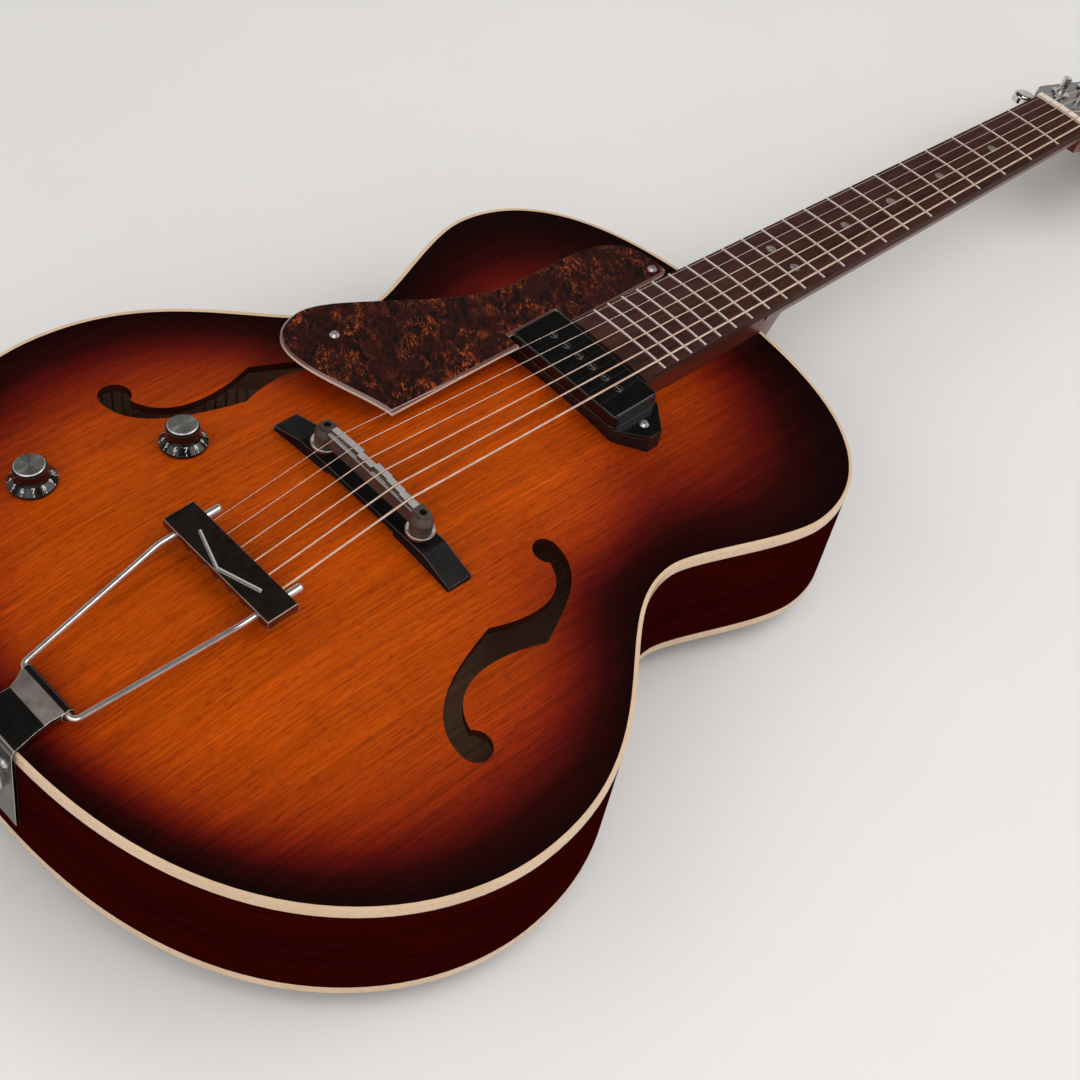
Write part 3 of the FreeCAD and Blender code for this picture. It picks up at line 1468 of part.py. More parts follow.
magnet_rows = [box(s.magnet_length, s.magnet_width, s.magnet_thickness, -s.magnet_length / 2, y,
                   coil_base - s.magnet_thickness)
               for y in (s.pole_radius + s.free_gap, -s.pole_radius - s.free_gap - s.magnet_width)]
magnets = fuse(*magnet_rows)
magnets.Refine = False
magnets.Placement = pickup_frame
publish(magnets, "pickup_magnets")

baseplate = new_body()
pad(baseplate, polygon(baseplate, "XY_Plane", rectangle(s.baseplate_half_length, s.baseplate_half_width)),
    s.baseplate_thickness)
pocket(baseplate, rounds(baseplate, "XY_Plane", [(x, 0, s.pole_radius) for x in pole_places]))
plate_drop = float(coil_base - s.magnet_thickness - s.baseplate_thickness)
baseplate.Placement = pickup_frame.multiply(Placement(Vector(0, 0, plate_drop), Rotation()))
publish(baseplate, "pickup_baseplate")

pole_top = n.cover_height + n.pole_proud
poles = [Part.makeCylinder(n.pole_radius, pole_top - plate_drop, Vector(float(x), 0, plate_drop))
         for x in pole_places]
slots = [block(Vector(float(x) - n.pole_radius, -n.pole_slot_width / 2, pole_top - n.pole_slot_depth),
               Vector(float(x) + n.pole_radius, n.pole_slot_width / 2, pole_top + n.pole_slot_depth))
         for x in pole_places]
publish(solid(moved(Part.makeCompound(poles).cut(slots), pickup_frame)), "pole_screws")

# Bridge

bridge_base = new_body()
base_profile = polygon(bridge_base, "XZ_Plane", [
    (-s.bridge_half_length, 0), (s.bridge_half_length, 0), (s.bridge_half_length, s.bridge_tip_height),
    (s.bridge_ridge_half, s.bridge_ridge_height), (-s.bridge_ridge_half, s.bridge_ridge_height),
    (-s.bridge_half_length, s.bridge_tip_height)])
pad(bridge_base, base_profile, s.bridge_width, symmetric=True)
bridge_base.Placement = Placement(Vector(0, -n.bridge_behind, 0), Rotation())
relief = box(2 * s.bridge_relief_half, 2 * s.bridge_width, s.top_arch + s.bridge_relief,
             -s.bridge_relief_half, -s.bridge_behind - s.bridge_width, 0)
saddle_crest = s.fret_plane_at_saddle + s.string_lift_saddle
boss_base = s.bridge_ridge_height + s.wheel_lift + s.wheel_thickness / 2 + s.running_gap
stud_foot = s.bridge_ridge_height - s.stud_sink
stud_top = boss_base + s.saddle_boss_height + s.stud_proud


def stud_pair():
    """The two threaded studs that stand in the bridge base."""
    return fuse(*[cylinder(s.stud_radius, stud_top - stud_foot, x, -s.bridge_behind, stud_foot)
                  for x in (s.stud_offset, -s.stud_offset)])


under_top_tool = solid(under_top, "ArchTool")
publish(cut(bridge_base, under_top_tool, relief, stud_pair()), "bridge_base")
publish(stud_pair(), "bridge_studs")

wheel_half = s.wheel_thickness / 2
wheel_bore = s.stud_radius + s.running_gap
for side, label in ((1, "thumbwheel_bass"), (-1, "thumbwheel_treble")):
    wheel = turned([
        (wheel_bore, -wheel_half), (s.wheel_radius - s.wheel_edge, -wheel_half),
        (s.wheel_radius, s.wheel_edge - wheel_half), (s.wheel_radius, wheel_half - s.wheel_edge),
        (s.wheel_radius - s.wheel_edge, wheel_half), (wheel_bore, wheel_half)])
    wheel.Placement = Placement(
        Vector(side * n.stud_offset, -n.bridge_behind, n.bridge_ridge_height + n.wheel_lift), Rotation())
    publish(wheel, label)

saddle_bar = box(2 * s.saddle_half_length, s.saddle_width, saddle_crest - boss_base - s.saddle_underside,
                 -s.saddle_half_length, -s.bridge_behind - s.saddle_width / 2, boss_base + s.saddle_underside)
saddle_round = cylinder(s.board_radius, 2 * s.bridge_width, 0, s.bridge_width - s.bridge_behind,
                        saddle_crest - s.board_radius, -Y_AXIS)
boss_straight = s.saddle_boss_height - s.saddle_boss_shoulder
boss_places = (s.stud_offset, -s.stud_offset)
bosses = [cylinder(s.saddle_boss_radius, boss_straight, x, -s.bridge_behind, boss_base) for x in boss_places]
bosses += [cone(s.saddle_boss_radius, s.saddle_boss_top, s.saddle_boss_shoulder, x, -s.bridge_behind,
                boss_base + boss_straight) for x in boss_places]
stud_bores = [cylinder(s.stud_radius + s.running_gap, s.saddle_boss_height * 3, x, -s.bridge_behind,
                       boss_base - s.saddle_boss_height)
              for x in boss_places]
SADDLE_STEPS = {1: 0.7, 2: 0.7, 3: -0.8, 4: 0.8, 5: 0.1, 6: -0.7}


def saddle_steps():
    """Blocks beside the crest of the saddle, so that each string has its own step forwards or back."""
    pitch_across = n.saddle_string_spread / (STRING_COUNT - 1)
    outer_reach = n.stud_offset - n.saddle_boss_top - n.saddle_string_spread / 2
    floor = float(saddle_crest) - crown(n.saddle_half_length) - n.saddle_step_depth
    sides = []
    for number, shift in SADDLE_STEPS.items():
        middle = saddle_point(number)
        low_x = middle.x - (outer_reach if number == 1 else pitch_across / 2)
        high_x = middle.x + (outer_reach if number == STRING_COUNT else pitch_across / 2)
        crest_back = middle.y + shift - n.saddle_crest_width / 2
        crest_front = crest_back + n.saddle_crest_width
        ceiling = float(saddle_crest) + n.saddle_step_depth
        behind = middle.y - n.bridge_width
        ahead = middle.y + n.bridge_width
        sides.append(block(Vector(low_x, behind, floor), Vector(high_x, crest_back, ceiling)))
        sides.append(block(Vector(low_x, crest_front, floor), Vector(high_x, ahead, ceiling)))
    return Part.makeCompound(sides)


string_grooves = grooves(saddle_point, (nut_point, anchor_point), n.free_gap)
step_tool = solid(saddle_steps(), "SaddleSteps")
crest = cut(common(saddle_bar, saddle_round), *string_grooves, step_tool)
publish(cut(fuse(crest, *bosses), *stud_bores), "saddle")

# Tailpiece

def on_bar_top(edge):
    """Whether an edge lies in the top of the tailpiece bar."""
    return all(abs(vertex.Z - n.bar_flange) < n.running_gap for vertex in edge.Vertexes)


crossbar = new_body()
bar_outside = rectangle(s.bar_half_length, s.bar_depth / 2)
bar_form = pad(crossbar, polygon(crossbar, "XY_Plane", bar_outside), s.bar_flange)
round_over(crossbar, bar_form, s.bar_edge, on_bar_top)
bar_inside = rectangle(s.bar_half_length - s.bar_plate, s.bar_depth / 2 - s.bar_plate)
pocket(crossbar, polygon(crossbar, "XY_Plane", bar_inside), s.bar_flange - s.bar_plate, True)
crossbar.Placement = bar_frame.multiply(Placement(Vector(0, 0, -n.bar_flange), Rotation()))


VEE_REACH = 0.58


def ridge_vee():
    """The raised vee on the top of the tailpiece bar, in the bar's frame."""
    sunk = n.bar_ridge / 4
    point = Vector(0, n.bar_ridge + n.bar_edge - n.bar_depth / 2, -sunk)
    arms = []
    for side in (-1, 1):
        end = Vector(side * n.bar_half_length * VEE_REACH, 0, -sunk)
        along = (end - point).normalize()
        across = along.cross(Z_AXIS) * n.bar_ridge
        corners = [point - across, end - across, end + across, point + across]
        foot = Part.Face(Part.makePolygon(corners + corners[:1]))
        arms.append(foot.extrude(Vector(0, 0, n.bar_ridge + sunk)))
    return arms[0].fuse(arms[1]).removeSplitter()


def rod_line_at(side, y):
    """A point of the rod's straight run through the bar."""
    return bar_frame.multVec(Vector(side * n.rod_offset, y, -n.rod_below_bar_top))


def ball_slot(number):
    """The slot in the back wall of the bar that lets a ball end in."""
    middle = n.saddle_string_spread * string_share(number)
    half = n.ball_slot_width / 2
    back = -n.bar_depth / 2
    low = Vector(middle - half, back - n.bar_plate, -n.bar_flange - n.bar_plate)
    high = Vector(middle + half, back + n.bar_plate * 1.5, n.ball_slot_height - n.bar_flange)
    return moved(block(low, high), bar_frame)


def bar_holes():
    """Holes and slots through the walls of the bar for the strings, their ball ends and the rod."""
    holes = [ball_slot(number) for number in string_numbers]
    for number in string_numbers:
        anchor = anchor_point(number)
        toward = (saddle_point(number) - anchor).normalize()
        holes.append(bar(gauges[number] / 2 + n.free_gap, anchor - toward, anchor + toward * n.bar_depth))
    for side in (-1, 1):
        holes.append(bar(n.rod_radius, rod_line_at(side, -n.bar_depth), rod_line_at(side, n.bar_depth)))
    return Part.makeCompound(holes)


ridge_tool = solid(moved(ridge_vee(), bar_frame), "RidgeVee")
hole_tool = solid(bar_holes(), "BarHoles")
publish(cut(fuse(crossbar, ridge_tool), hole_tool), "tailpiece_crossbar")


def trapeze_rod():
    """The bent rod from one cap nut through the hinge roll to the other."""
    bass = [rod_line_at(1, n.bar_depth / 2 + n.rod_nut_length * 0.7),
            rod_line_at(1, -n.bar_depth / 2 - n.rod_nut_length),
            Vector(n.hinge_half_width, n.hinge_from_tail - n.tail_behind, n.hinge_height)]
    route = bass + [mirrored(point) for point in reversed(bass)]
    sharp = 2.4 * n.rod_radius
    return tube(rounded_path(route, [n.rod_bend, sharp, sharp, n.rod_bend]), n.rod_radius)


rod_form = trapeze_rod()
publish(solid(rod_form), "tailpiece_rod")


def cap_nut(side):
    """A domed nut in front of the tailpiece bar."""
    foot = Vector(side * n.rod_offset, n.bar_depth / 2, -n.rod_below_bar_top)
    straight = n.rod_nut_length - n.rod_nut_radius
    sleeve = bar(n.rod_nut_radius, foot, foot + Y_AXIS * straight)
    dome = Part.makeSphere(n.rod_nut_radius, foot + Y_AXIS * straight)
    return moved(sleeve.fuse(dome).removeSplitter(), bar_frame).cut(rod_form)


publish(solid(Part.makeCompound([cap_nut(-1), cap_nut(1)])), "tailpiece_nuts")


def set_back(points, distance):
    """The corners of a path in the YZ plane, set back to the side that lies left of its run."""
    runs = [(after - before).normalize() for before, after in zip(points, points[1:])]
    normals = [Vector(0, -run.z, run.y) for run in runs]
    moves = [normals[0]]
    for before, after in zip(normals, normals[1:]):
        moves.append((before + after) / (1 + before.dot(after)))
    moves.append(normals[-1])
    return [point + move * distance for point, move in zip(points, moves)]


def bracket_plan(hinge_line, outer):
    """The bracket seen from above: wide at the hinge and at the tail, drawn in at the crease."""
    crease = n.crease_from_tail - n.tail_behind
    wide = n.bracket_half_width
    front = Vector(wide, hinge_line + n.bracket_drop, 0)
    hinge = Vector(wide, hinge_line, 0)
    waist = Vector(n.bracket_waist, crease, 0)
    tail = Vector(wide, outer - n.bracket_thickness, 0)
    ahead = Y_AXIS * (hinge_line - crease) * PLAN_HANDLE
    behind = Y_AXIS * (crease - outer) * PLAN_HANDLE
    tongue = [hinge, hinge - ahead, waist + ahead, waist]
    skirt = [waist, waist - behind, tail + behind, tail]
    bass = [[front, hinge], tongue, skirt]
    treble = [[mirrored(pole) for pole in reversed(span)] for span in reversed(bass)]
    across = [[tail, mirrored(tail)], [mirrored(front), front]]
    wire = Part.Wire([bezier(span) for span in bass + across[:1] + treble + across[1:]])
    face = Part.Face(wire).translated(Vector(0, 0, -2 * n.bracket_drop))
    return face.extrude(Vector(0, 0, 4 * n.bracket_drop))


PLAN_HANDLE = 0.4


def bracket():
    """The tail bracket: a hinge roll, a creased tongue over the body's edge and a plate down the tail."""
    thickness = n.bracket_thickness
    roll_radius = n.rod_radius + n.running_gap + thickness
    outer = -n.tail_behind - n.free_gap - thickness
    hinge_line = n.hinge_from_tail - n.tail_behind
    middle = Vector(0, hinge_line, n.hinge_height)
    crease = Vector(0, n.crease_from_tail - n.tail_behind, n.crease_height)
    fall = (crease - middle - Z_AXIS * roll_radius).normalize()
    start = middle + Vector(0, fall.z, -fall.y) * roll_radius
    points = [start, crease, Vector(0, outer, n.bracket_edge_height), Vector(0, outer, -n.bracket_drop)]
    under_points = set_back(points, thickness)
    over_edges = rounded_path(points, [n.crease_bend, n.bracket_bend + thickness])
    under_edges = rounded_path(under_points, [n.crease_bend + thickness, n.bracket_bend])
    closing = [Part.LineSegment(points[-1], under_points[-1]).toShape(),
               Part.LineSegment(under_points[0], points[0]).toShape()]
    wire = Part.Wire(Part.__sortEdges__(over_edges + under_edges + closing))
    half = n.bracket_half_width
    sheet_metal = Part.Face(wire).translated(Vector(-half, 0, 0)).extrude(Vector(2 * half, 0, 0))
    hinge = middle - X_AXIS * half
    roll = bar(roll_radius, hinge, hinge + X_AXIS * 2 * half)
    pin = bar(n.rod_radius + n.running_gap, hinge - X_AXIS * half, hinge + X_AXIS * 3 * half)
    form = sheet_metal.common(bracket_plan(hinge_line, outer)).fuse(roll).removeSplitter()
    return form.cut([pin, jack_bore] + tail_screws)


publish(solid(bracket()), "tailpiece_bracket")

# End pin with output jack

jack_seat = n.tail_behind + n.free_gap + n.bracket_thickness
inner_length = s.free_gap + s.bracket_thickness + s.end_block_length + s.rim_thickness
end_pin = turned([
    (s.jack_bore_radius, s.jack_length), (s.jack_bore_radius, s.jack_length - s.jack_bore_depth),
    (0, s.jack_length - s.jack_bore_depth), (0, -inner_length), (s.jack_barrel_radius, -inner_length),
    (s.jack_barrel_radius, 0), (s.jack_flange_radius, 0), (s.jack_flange_radius, s.jack_length * 0.2),
    (s.jack_waist_radius, s.jack_length * 0.4), (s.jack_waist_radius, s.jack_length * 0.7),
    (s.jack_flange_radius * 0.95, s.jack_length * 0.8), (s.jack_flange_radius * 0.95, s.jack_length)])
end_pin.Placement = Placement(Vector(0, -jack_seat, -n.jack_below_rim), Rotation(Z_AXIS, -Y_AXIS))
publish(end_pin, "end_pin_jack")

# Controls

bushing_top = s.knob_gap + s.pot_nut_height + 0.4
pot_top = -s.top_thickness - s.free_gap * 2


def knob():
    """A top-hat knob with a hollow foot and a blind bore for its shaft."""
    top = s.knob_gap + s.knob_height
    recess = s.knob_gap + s.knob_recess_depth
    return turned([
        (s.shaft_radius, recess), (s.knob_recess_radius, recess),
        (s.knob_recess_radius, s.knob_gap), (s.knob_radius, s.knob_gap),
        (s.knob_radius, s.knob_gap + s.knob_skirt),
        (s.knob_neck_radius + 0.6, s.knob_gap + s.knob_height * 0.42),
        (s.knob_neck_radius, s.knob_gap + s.knob_height * 0.55),
        (s.knob_neck_radius, top), (s.shaft_radius, top)])


def knob_cap():
    """The spun metal disc on top of a knob, dished towards its rim."""
    base = s.knob_gap + s.knob_height
    return turned([
        (0, base), (s.knob_cap_radius, base), (s.knob_cap_radius, base + s.knob_cap_height * 0.6),
        (s.knob_cap_radius - 0.6, base + s.knob_cap_height), (0, base + s.knob_cap_height)])


def shaft():
    """A control shaft, from inside the potentiometer to the top of the knob's bore."""
    body = new_body()
    circle = rounds(body, "XY_Plane", [(0, 0, s.shaft_radius)])
    pad(body, circle, s.knob_gap + s.knob_height)
    tail = rounds(body, "XY_Plane", [(0, 0, s.shaft_radius)])
    feature = pad(body, tail, -pot_top + s.pot_height / 2)
    feature.Reversed = True
    return body


def potentiometer():
    """A can with its threaded bushing, bored for the shaft."""
    can = turned([
        (0, pot_top - s.pot_height), (s.pot_radius, pot_top - s.pot_height), (s.pot_radius, pot_top),
        (s.pot_bushing_radius, pot_top), (s.pot_bushing_radius, bushing_top),
        (s.shaft_radius + s.running_gap, bushing_top),
        (s.shaft_radius + s.running_gap, pot_top - s.pot_height * 0.5 - s.free_gap),
        (0, pot_top - s.pot_height * 0.5 - s.free_gap)])
    nut = turned([
        (s.pot_bushing_radius, s.free_gap), (s.pot_nut_radius, s.free_gap),
        (s.pot_nut_radius, s.free_gap + s.pot_nut_height),
        (s.pot_bushing_radius, s.free_gap + s.pot_nut_height)])
    return can, nut


pots = []
for label, frame in (("volume", volume_frame), ("tone", tone_frame)):
    for piece, suffix in ((knob(), "knob"), (knob_cap(), "knob_cap"), (shaft(), "shaft")):
        piece.Placement = frame
        publish(piece, "%s_%s" % (label, suffix))
    for piece in potentiometer():
        piece.Placement = frame
        pots.append(piece)
pot_group = doc.addObject("Part::Compound", "Pots")
pot_group.Links = pots
publish(pot_group, "potentiometers")


def wiring():
    """Leads from the pickup to the controls and on to the output jack, with the tone capacitor between."""
    hang = 2 * n.pot_height
    aside = n.pot_radius / 2

    def terminal(frame, share, drop):
        return frame.multVec(Vector(share * aside, 0, float(pot_top) - n.pot_height - n.glue_gap - drop))

    under_pickup = pickup_frame.multVec(Vector(-n.baseplate_half_length * 0.8, 0, plate_drop - n.glue_gap))
    jack_end = Vector(0, -jack_seat + float(inner_length) + n.glue_gap, -n.jack_below_rim)
    between = [terminal(volume_frame, -1, 0), terminal(volume_frame, -1, hang), terminal(tone_frame, 1, hang),
               terminal(tone_frame, 1, 0)]
    routes = [
        [under_pickup, under_pickup - Z_AXIS * 2 * hang, terminal(volume_frame, 1, hang),
         terminal(volume_frame, 1, 0)],
        between,
        [terminal(tone_frame, -1, 0), terminal(tone_frame, -1, hang), jack_end + Y_AXIS * 2 * hang, jack_end]]
    leads = [tube(rounded_path(points, [n.lead_bend] * 2), n.lead_radius) for points in routes]
    along = (between[2] - between[1]).normalize()
    middle = (between[1] + between[2]) / 2
    half = along * n.capacitor_length / 2
    capacitor = bar(n.capacitor_radius, middle - half, middle + half)
    return Part.makeCompound([leads[0], leads[1].fuse(capacitor).removeSplitter(), leads[2]])


publish(solid(wiring()), "wiring")

# Standing the guitar on the bench

head_tip = head_frame.multVec(Vector(0, n.head_length + n.free_gap, n.head_veneer)).y
tail_tip = -jack_seat - n.jack_length
bench = Placement(Vector(0, -(head_tip + tail_tip) / 2, n.rim_depth + n.back_arch), Rotation())
doc.recompute()
for item in subparts:
    item.Placement = bench.multiply(item.Placement)
doc.recompute()

for item in doc.Objects:
    if "Invalid" in item.State or "Error" in item.State:
        raise RuntimeError("%s did not build: %s" % (item.Label, item.State))
for item in subparts:
    if item.Shape.isNull() or not item.Shape.isValid() or not item.Shape.Solids:
        raise RuntimeError("%s has no sound solid" % item.Label)

os.makedirs("parts", exist_ok=True)
for item in subparts:
    item.Shape.exportStep(os.path.join("parts", item.Label + ".step"))
print("%d nodes, the scale line is %.2f mm behind the origin" % (len(subparts), -bench.Base.y))
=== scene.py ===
"""Looks of an archtop guitar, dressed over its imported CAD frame."""

import functools
import json
import logging
import math
from collections.abc import Iterator, Mapping, Sequence
from dataclasses import dataclass, field
from enum import Enum
from typing import Any

import bmesh
import bpy
from mathutils import Matrix, Quaternion, Vector


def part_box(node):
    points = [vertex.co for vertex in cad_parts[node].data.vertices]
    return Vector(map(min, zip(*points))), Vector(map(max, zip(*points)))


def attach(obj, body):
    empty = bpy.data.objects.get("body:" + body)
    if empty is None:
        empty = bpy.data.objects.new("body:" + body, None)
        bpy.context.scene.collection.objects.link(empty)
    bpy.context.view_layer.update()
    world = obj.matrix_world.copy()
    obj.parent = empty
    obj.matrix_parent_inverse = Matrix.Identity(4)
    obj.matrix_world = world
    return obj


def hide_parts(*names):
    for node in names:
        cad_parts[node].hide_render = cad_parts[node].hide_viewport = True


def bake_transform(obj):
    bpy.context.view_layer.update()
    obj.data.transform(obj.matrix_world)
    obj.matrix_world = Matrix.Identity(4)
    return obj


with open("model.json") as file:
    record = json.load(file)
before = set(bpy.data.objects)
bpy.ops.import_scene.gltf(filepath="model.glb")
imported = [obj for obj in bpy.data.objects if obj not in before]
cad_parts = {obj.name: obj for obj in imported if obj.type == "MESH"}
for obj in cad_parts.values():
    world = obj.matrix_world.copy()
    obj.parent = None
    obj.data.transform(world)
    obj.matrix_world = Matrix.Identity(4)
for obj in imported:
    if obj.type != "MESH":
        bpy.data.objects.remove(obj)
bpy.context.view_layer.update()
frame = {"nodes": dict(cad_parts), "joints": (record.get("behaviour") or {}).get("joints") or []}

LOG = logging.getLogger("guitar")
SADDLE_LINE = -0.27576
UP = (0.0, 0.0, 1.0)
EDGE_SAMPLES = 6
Colour = tuple[float, float, float]
Point = tuple[float, float, float]
Pair = tuple[float, float]
Waves = Sequence[float]
Stops = Sequence[tuple[float, Colour]]


def ink(red: int, green: int, blue: int) -> Colour:
    """Turn a colour as a screen shows it into linear light.

    Args:
        red: Red from 0 to 255.
        green: Green from 0 to 255.
        blue: Blue from 0 to 255.

    Returns:
        The same colour in linear light.
    """

    def channel(level: int) -> float:
        """One channel in linear light."""
        share = level / 255
        return share / 12.92 if share <= 0.04045 else ((share + 0.055) / 1.055) ** 2.4

    return channel(red), channel(green), channel(blue)


class Wire:
    """One output of a shader node. Sums on it add Math nodes."""

    def __init__(self, board: "Board", socket: bpy.types.NodeSocket) -> None:
        """Hold a socket and the board that it is on."""
        self.board = board
        self.socket = socket

    def __add__(self, other: "Value") -> "Wire":
        """Add."""
        return self.board.math("ADD", self, other)

    def __sub__(self, other: "Value") -> "Wire":
        """Take away."""
        return self.board.math("SUBTRACT", self, other)

    def __rsub__(self, other: "Value") -> "Wire":
        """Take this away from a number."""
        return self.board.math("SUBTRACT", other, self)

    def __mul__(self, other: "Value") -> "Wire":
        """Multiply."""
        return self.board.math("MULTIPLY", self, other)

    def __truediv__(self, other: "Value") -> "Wire":
        """Divide."""
        return self.board.math("DIVIDE", self, other)

    def __pow__(self, other: "Value") -> "Wire":
        """Raise to a power."""
        return self.board.math("POWER", self, other)

    def __abs__(self) -> "Wire":
        """Drop the sign."""
        return self.board.math("ABSOLUTE", self)

    __radd__ = __add__
    __rmul__ = __mul__


Value = Wire | float | Sequence[float]
Inputs = Mapping[str, Value]


class Board:
    """The node tree of a material or of the room."""

    def __init__(self, tree: bpy.types.NodeTree) -> None:
        """Take a node tree and empty it."""
        self.tree = tree
        self.tree.nodes.clear()

    def node(self, kind: str, settings: Mapping[str, Any] | None = None,
             inputs: Inputs | None = None) -> bpy.types.Node:
        """Add any node.

        Args:
            kind: The node's type.
            settings: Its properties, which are set first; stops are the points of a ramp.
            inputs: Values or wires for its sockets, by identifier or name.

        Returns:
            The new node.
        """
        made = self.tree.nodes.new(kind)
        for name, value in (settings or {}).items():
            if name == "stops":
                self._stops(made.color_ramp.elements, value)
            else:
                setattr(made, name, value)
        for name, value in (inputs or {}).items():
            matching = [socket for socket in made.inputs if name in (socket.identifier, socket.name)]
            self.feed(next(socket for socket in matching if socket.enabled), value)
        return made

    def _stops(self, elements: bpy.types.ColorRampElements, stops: Stops) -> None:
        """Set the points of a ramp.

        Args:
            elements: The ramp's points.
            stops: Their places and colours.
        """
        while len(elements) < len(stops):
            elements.new(1.0)
        for element, (place, colour) in zip(elements, stops):
            element.position = place
            element.color = (*colour, 1.0)

    def feed(self, socket: bpy.types.NodeSocket, value: Value) -> None:
        """Set a socket, or link a wire to it.

        Args:
            socket: The input.
            value: A wire, a number, or the numbers of a colour or vector.
        """
        if isinstance(value, Wire):
            self.tree.links.new(value.socket, socket)
        elif isinstance(value, (int, float)):
            socket.default_value = value
        else:
            wanted = len(socket.default_value)
            socket.default_value = (tuple(value) + (1.0,))[:wanted]

    def tap(self, kind: str, output: str, settings: Mapping[str, Any] | None = None,
            inputs: Inputs | None = None) -> Wire:
        """Add a node and take one of its outputs.

        Args:
            kind: The node's type.
            output: The output's identifier or name.
            settings: The node's properties.
            inputs: Values or wires for its sockets.

        Returns:
            The output.
        """
        made = self.node(kind, settings, inputs)
        matching = [socket for socket in made.outputs if output in (socket.identifier, socket.name)]
        return Wire(self, next(socket for socket in matching if socket.enabled))

    def math(self, operation: str, *values: Value) -> Wire:
        """Add a Math node."""
        sockets = ("Value", "Value_001", "Value_002")
        return self.tap("ShaderNodeMath", "Value", {"operation": operation}, dict(zip(sockets, values)))

    def vector(self, operation: str, *values: Value) -> Wire:
        """Add a Vector Math node that gives a vector.

        Args:
            operation: What it works out.
            values: Its vectors, or a vector and a scale.

        Returns:
            The vector.
        """
        sockets = ("Vector", "Scale") if operation == "SCALE" else ("Vector", "Vector_001", "Vector_002")
        inputs = dict(zip(sockets, values))
        return self.tap("ShaderNodeVectorMath", "Vector", {"operation": operation}, inputs)

    def dot(self, first: Value, second: Value) -> Wire:
        """How far two directions agree."""
        return self.tap("ShaderNodeVectorMath", "Value", {"operation": "DOT_PRODUCT"},
                        {"Vector": first, "Vector_001": second})

    def place(self) -> Wire:
        """The place on the piece, in metres."""
        return self.tap("ShaderNodeTexCoord", "Object")

    def middle(self) -> Wire:
        """The place in the piece's own box, from -0.5 to 0.5 each way."""
        return self.vector("SUBTRACT", self.tap("ShaderNodeTexCoord", "Generated"), (0.5, 0.5, 0.5))

    def split(self, wire: Wire) -> tuple[Wire, Wire, Wire]:
        """The three numbers of a vector."""
        made = self.node("ShaderNodeSeparateXYZ", inputs={"Vector": wire})
        return tuple(Wire(self, socket) for socket in made.outputs)

    def noise(self, stretch: Waves, detail: float = 3.0, roughness: float = 0.55,
              distortion: float = 0.0, at: Wire | None = None) -> Wire:
        """A cloud of noise.

        Args:
            stretch: Waves in a metre, along each axis.
            detail: Finer layers.
            roughness: How strong the finer layers are.
            distortion: How far it is stirred.
            at: The place to read it at, if not the place on the piece.

        Returns:
            A number from 0 to 1.
        """
        where = self.vector("MULTIPLY", at or self.place(), stretch)
        return self.tap("ShaderNodeTexNoise", "Fac", inputs={
            "Vector": where,
            "Scale": 1.0,
            "Detail": detail,
            "Roughness": roughness,
            "Distortion": distortion,
        })

    def span(self, value: Value, low: float, high: float, start: float = 0.0, end: float = 1.0) -> Wire:
        """A value moved from one range to another, and held inside it."""
        return self.tap("ShaderNodeMapRange", "Result", {"interpolation_type": "SMOOTHSTEP"}, {
            "Value": value, "From Min": low, "From Max": high, "To Min": start, "To Max": end})

    def ramp(self, value: Value, stops: Stops) -> Wire:
        """A colour that follows a value."""
        return self.tap("ShaderNodeValToRGB", "Color", {"stops": stops}, {"Fac": value})

    def blend(self, first: Value, second: Value, share: Value, way: str = "MIX") -> Wire:
        """Two colours laid over each other."""
        return self.tap("ShaderNodeMix", "Result_Color", {"data_type": "RGBA", "blend_type": way}, {
            "Factor_Float": share, "A_Color": first, "B_Color": second})

    def facing(self, way: Value) -> Wire:
        """How far the surface faces a way, from -1 to 1."""
        return self.dot(self.tap("ShaderNodeNewGeometry", "True Normal"), way)

    def rounded(self, radius: float) -> Wire:
        """The surface's direction, with its edges eased to a radius."""
        return self.tap("ShaderNodeBevel", "Normal", {"samples": EDGE_SAMPLES}, {"Radius": radius})

    def edges(self, radius: float) -> Wire:
        """Find the edges of a piece.

        Args:
            radius: How far from an edge the mask reaches, in metres.

        Returns:
            A mask from 0 to 1.
        """
        eased = self.rounded(radius)
        straight = self.tap("ShaderNodeNewGeometry", "True Normal")
        return self.span(1.0 - self.dot(eased, straight), 0.01, 0.16)

    def relief(self, height: Value, depth: float, edge: float = 0.0) -> Wire:
        """The direction of a surface with a fine relief.

        Args:
            height: The relief, from 0 to 1.
            depth: How deep it is, in metres.
            edge: The radius that the edges are eased to.

        Returns:
            The direction, for a Normal socket.
        """
        inputs: dict[str, Value] = {"Height": height, "Distance": depth, "Strength": 1.0}
        if edge:
            inputs["Normal"] = self.rounded(edge)
        return self.tap("ShaderNodeBump", "Normal", inputs=inputs)

    def finish(self, inputs: Inputs) -> None:
        """Add the surface shader and the output."""
        surface = self.tap("ShaderNodeBsdfPrincipled", "BSDF", inputs=inputs)
        self.node("ShaderNodeOutputMaterial", inputs={"Surface": surface})


class Grain(Enum):
    """Which way wood grain runs, as the shares of its waves along X, Y and Z."""

    ALONG = (1.0, 0.045, 1.0)
    ROUND_RIM = (0.05, 0.05, 1.0)
    ACROSS = (0.05, 1.0, 1.0)


class Tooling(Enum):
    """How a metal surface was worked."""

    POLISHED = "polished"
    DRAWN = "drawn"
    SPUN = "spun"
    KNURLED_Z = "knurled round z"
    KNURLED_Y = "knurled round y"
    WOUND = "wound"


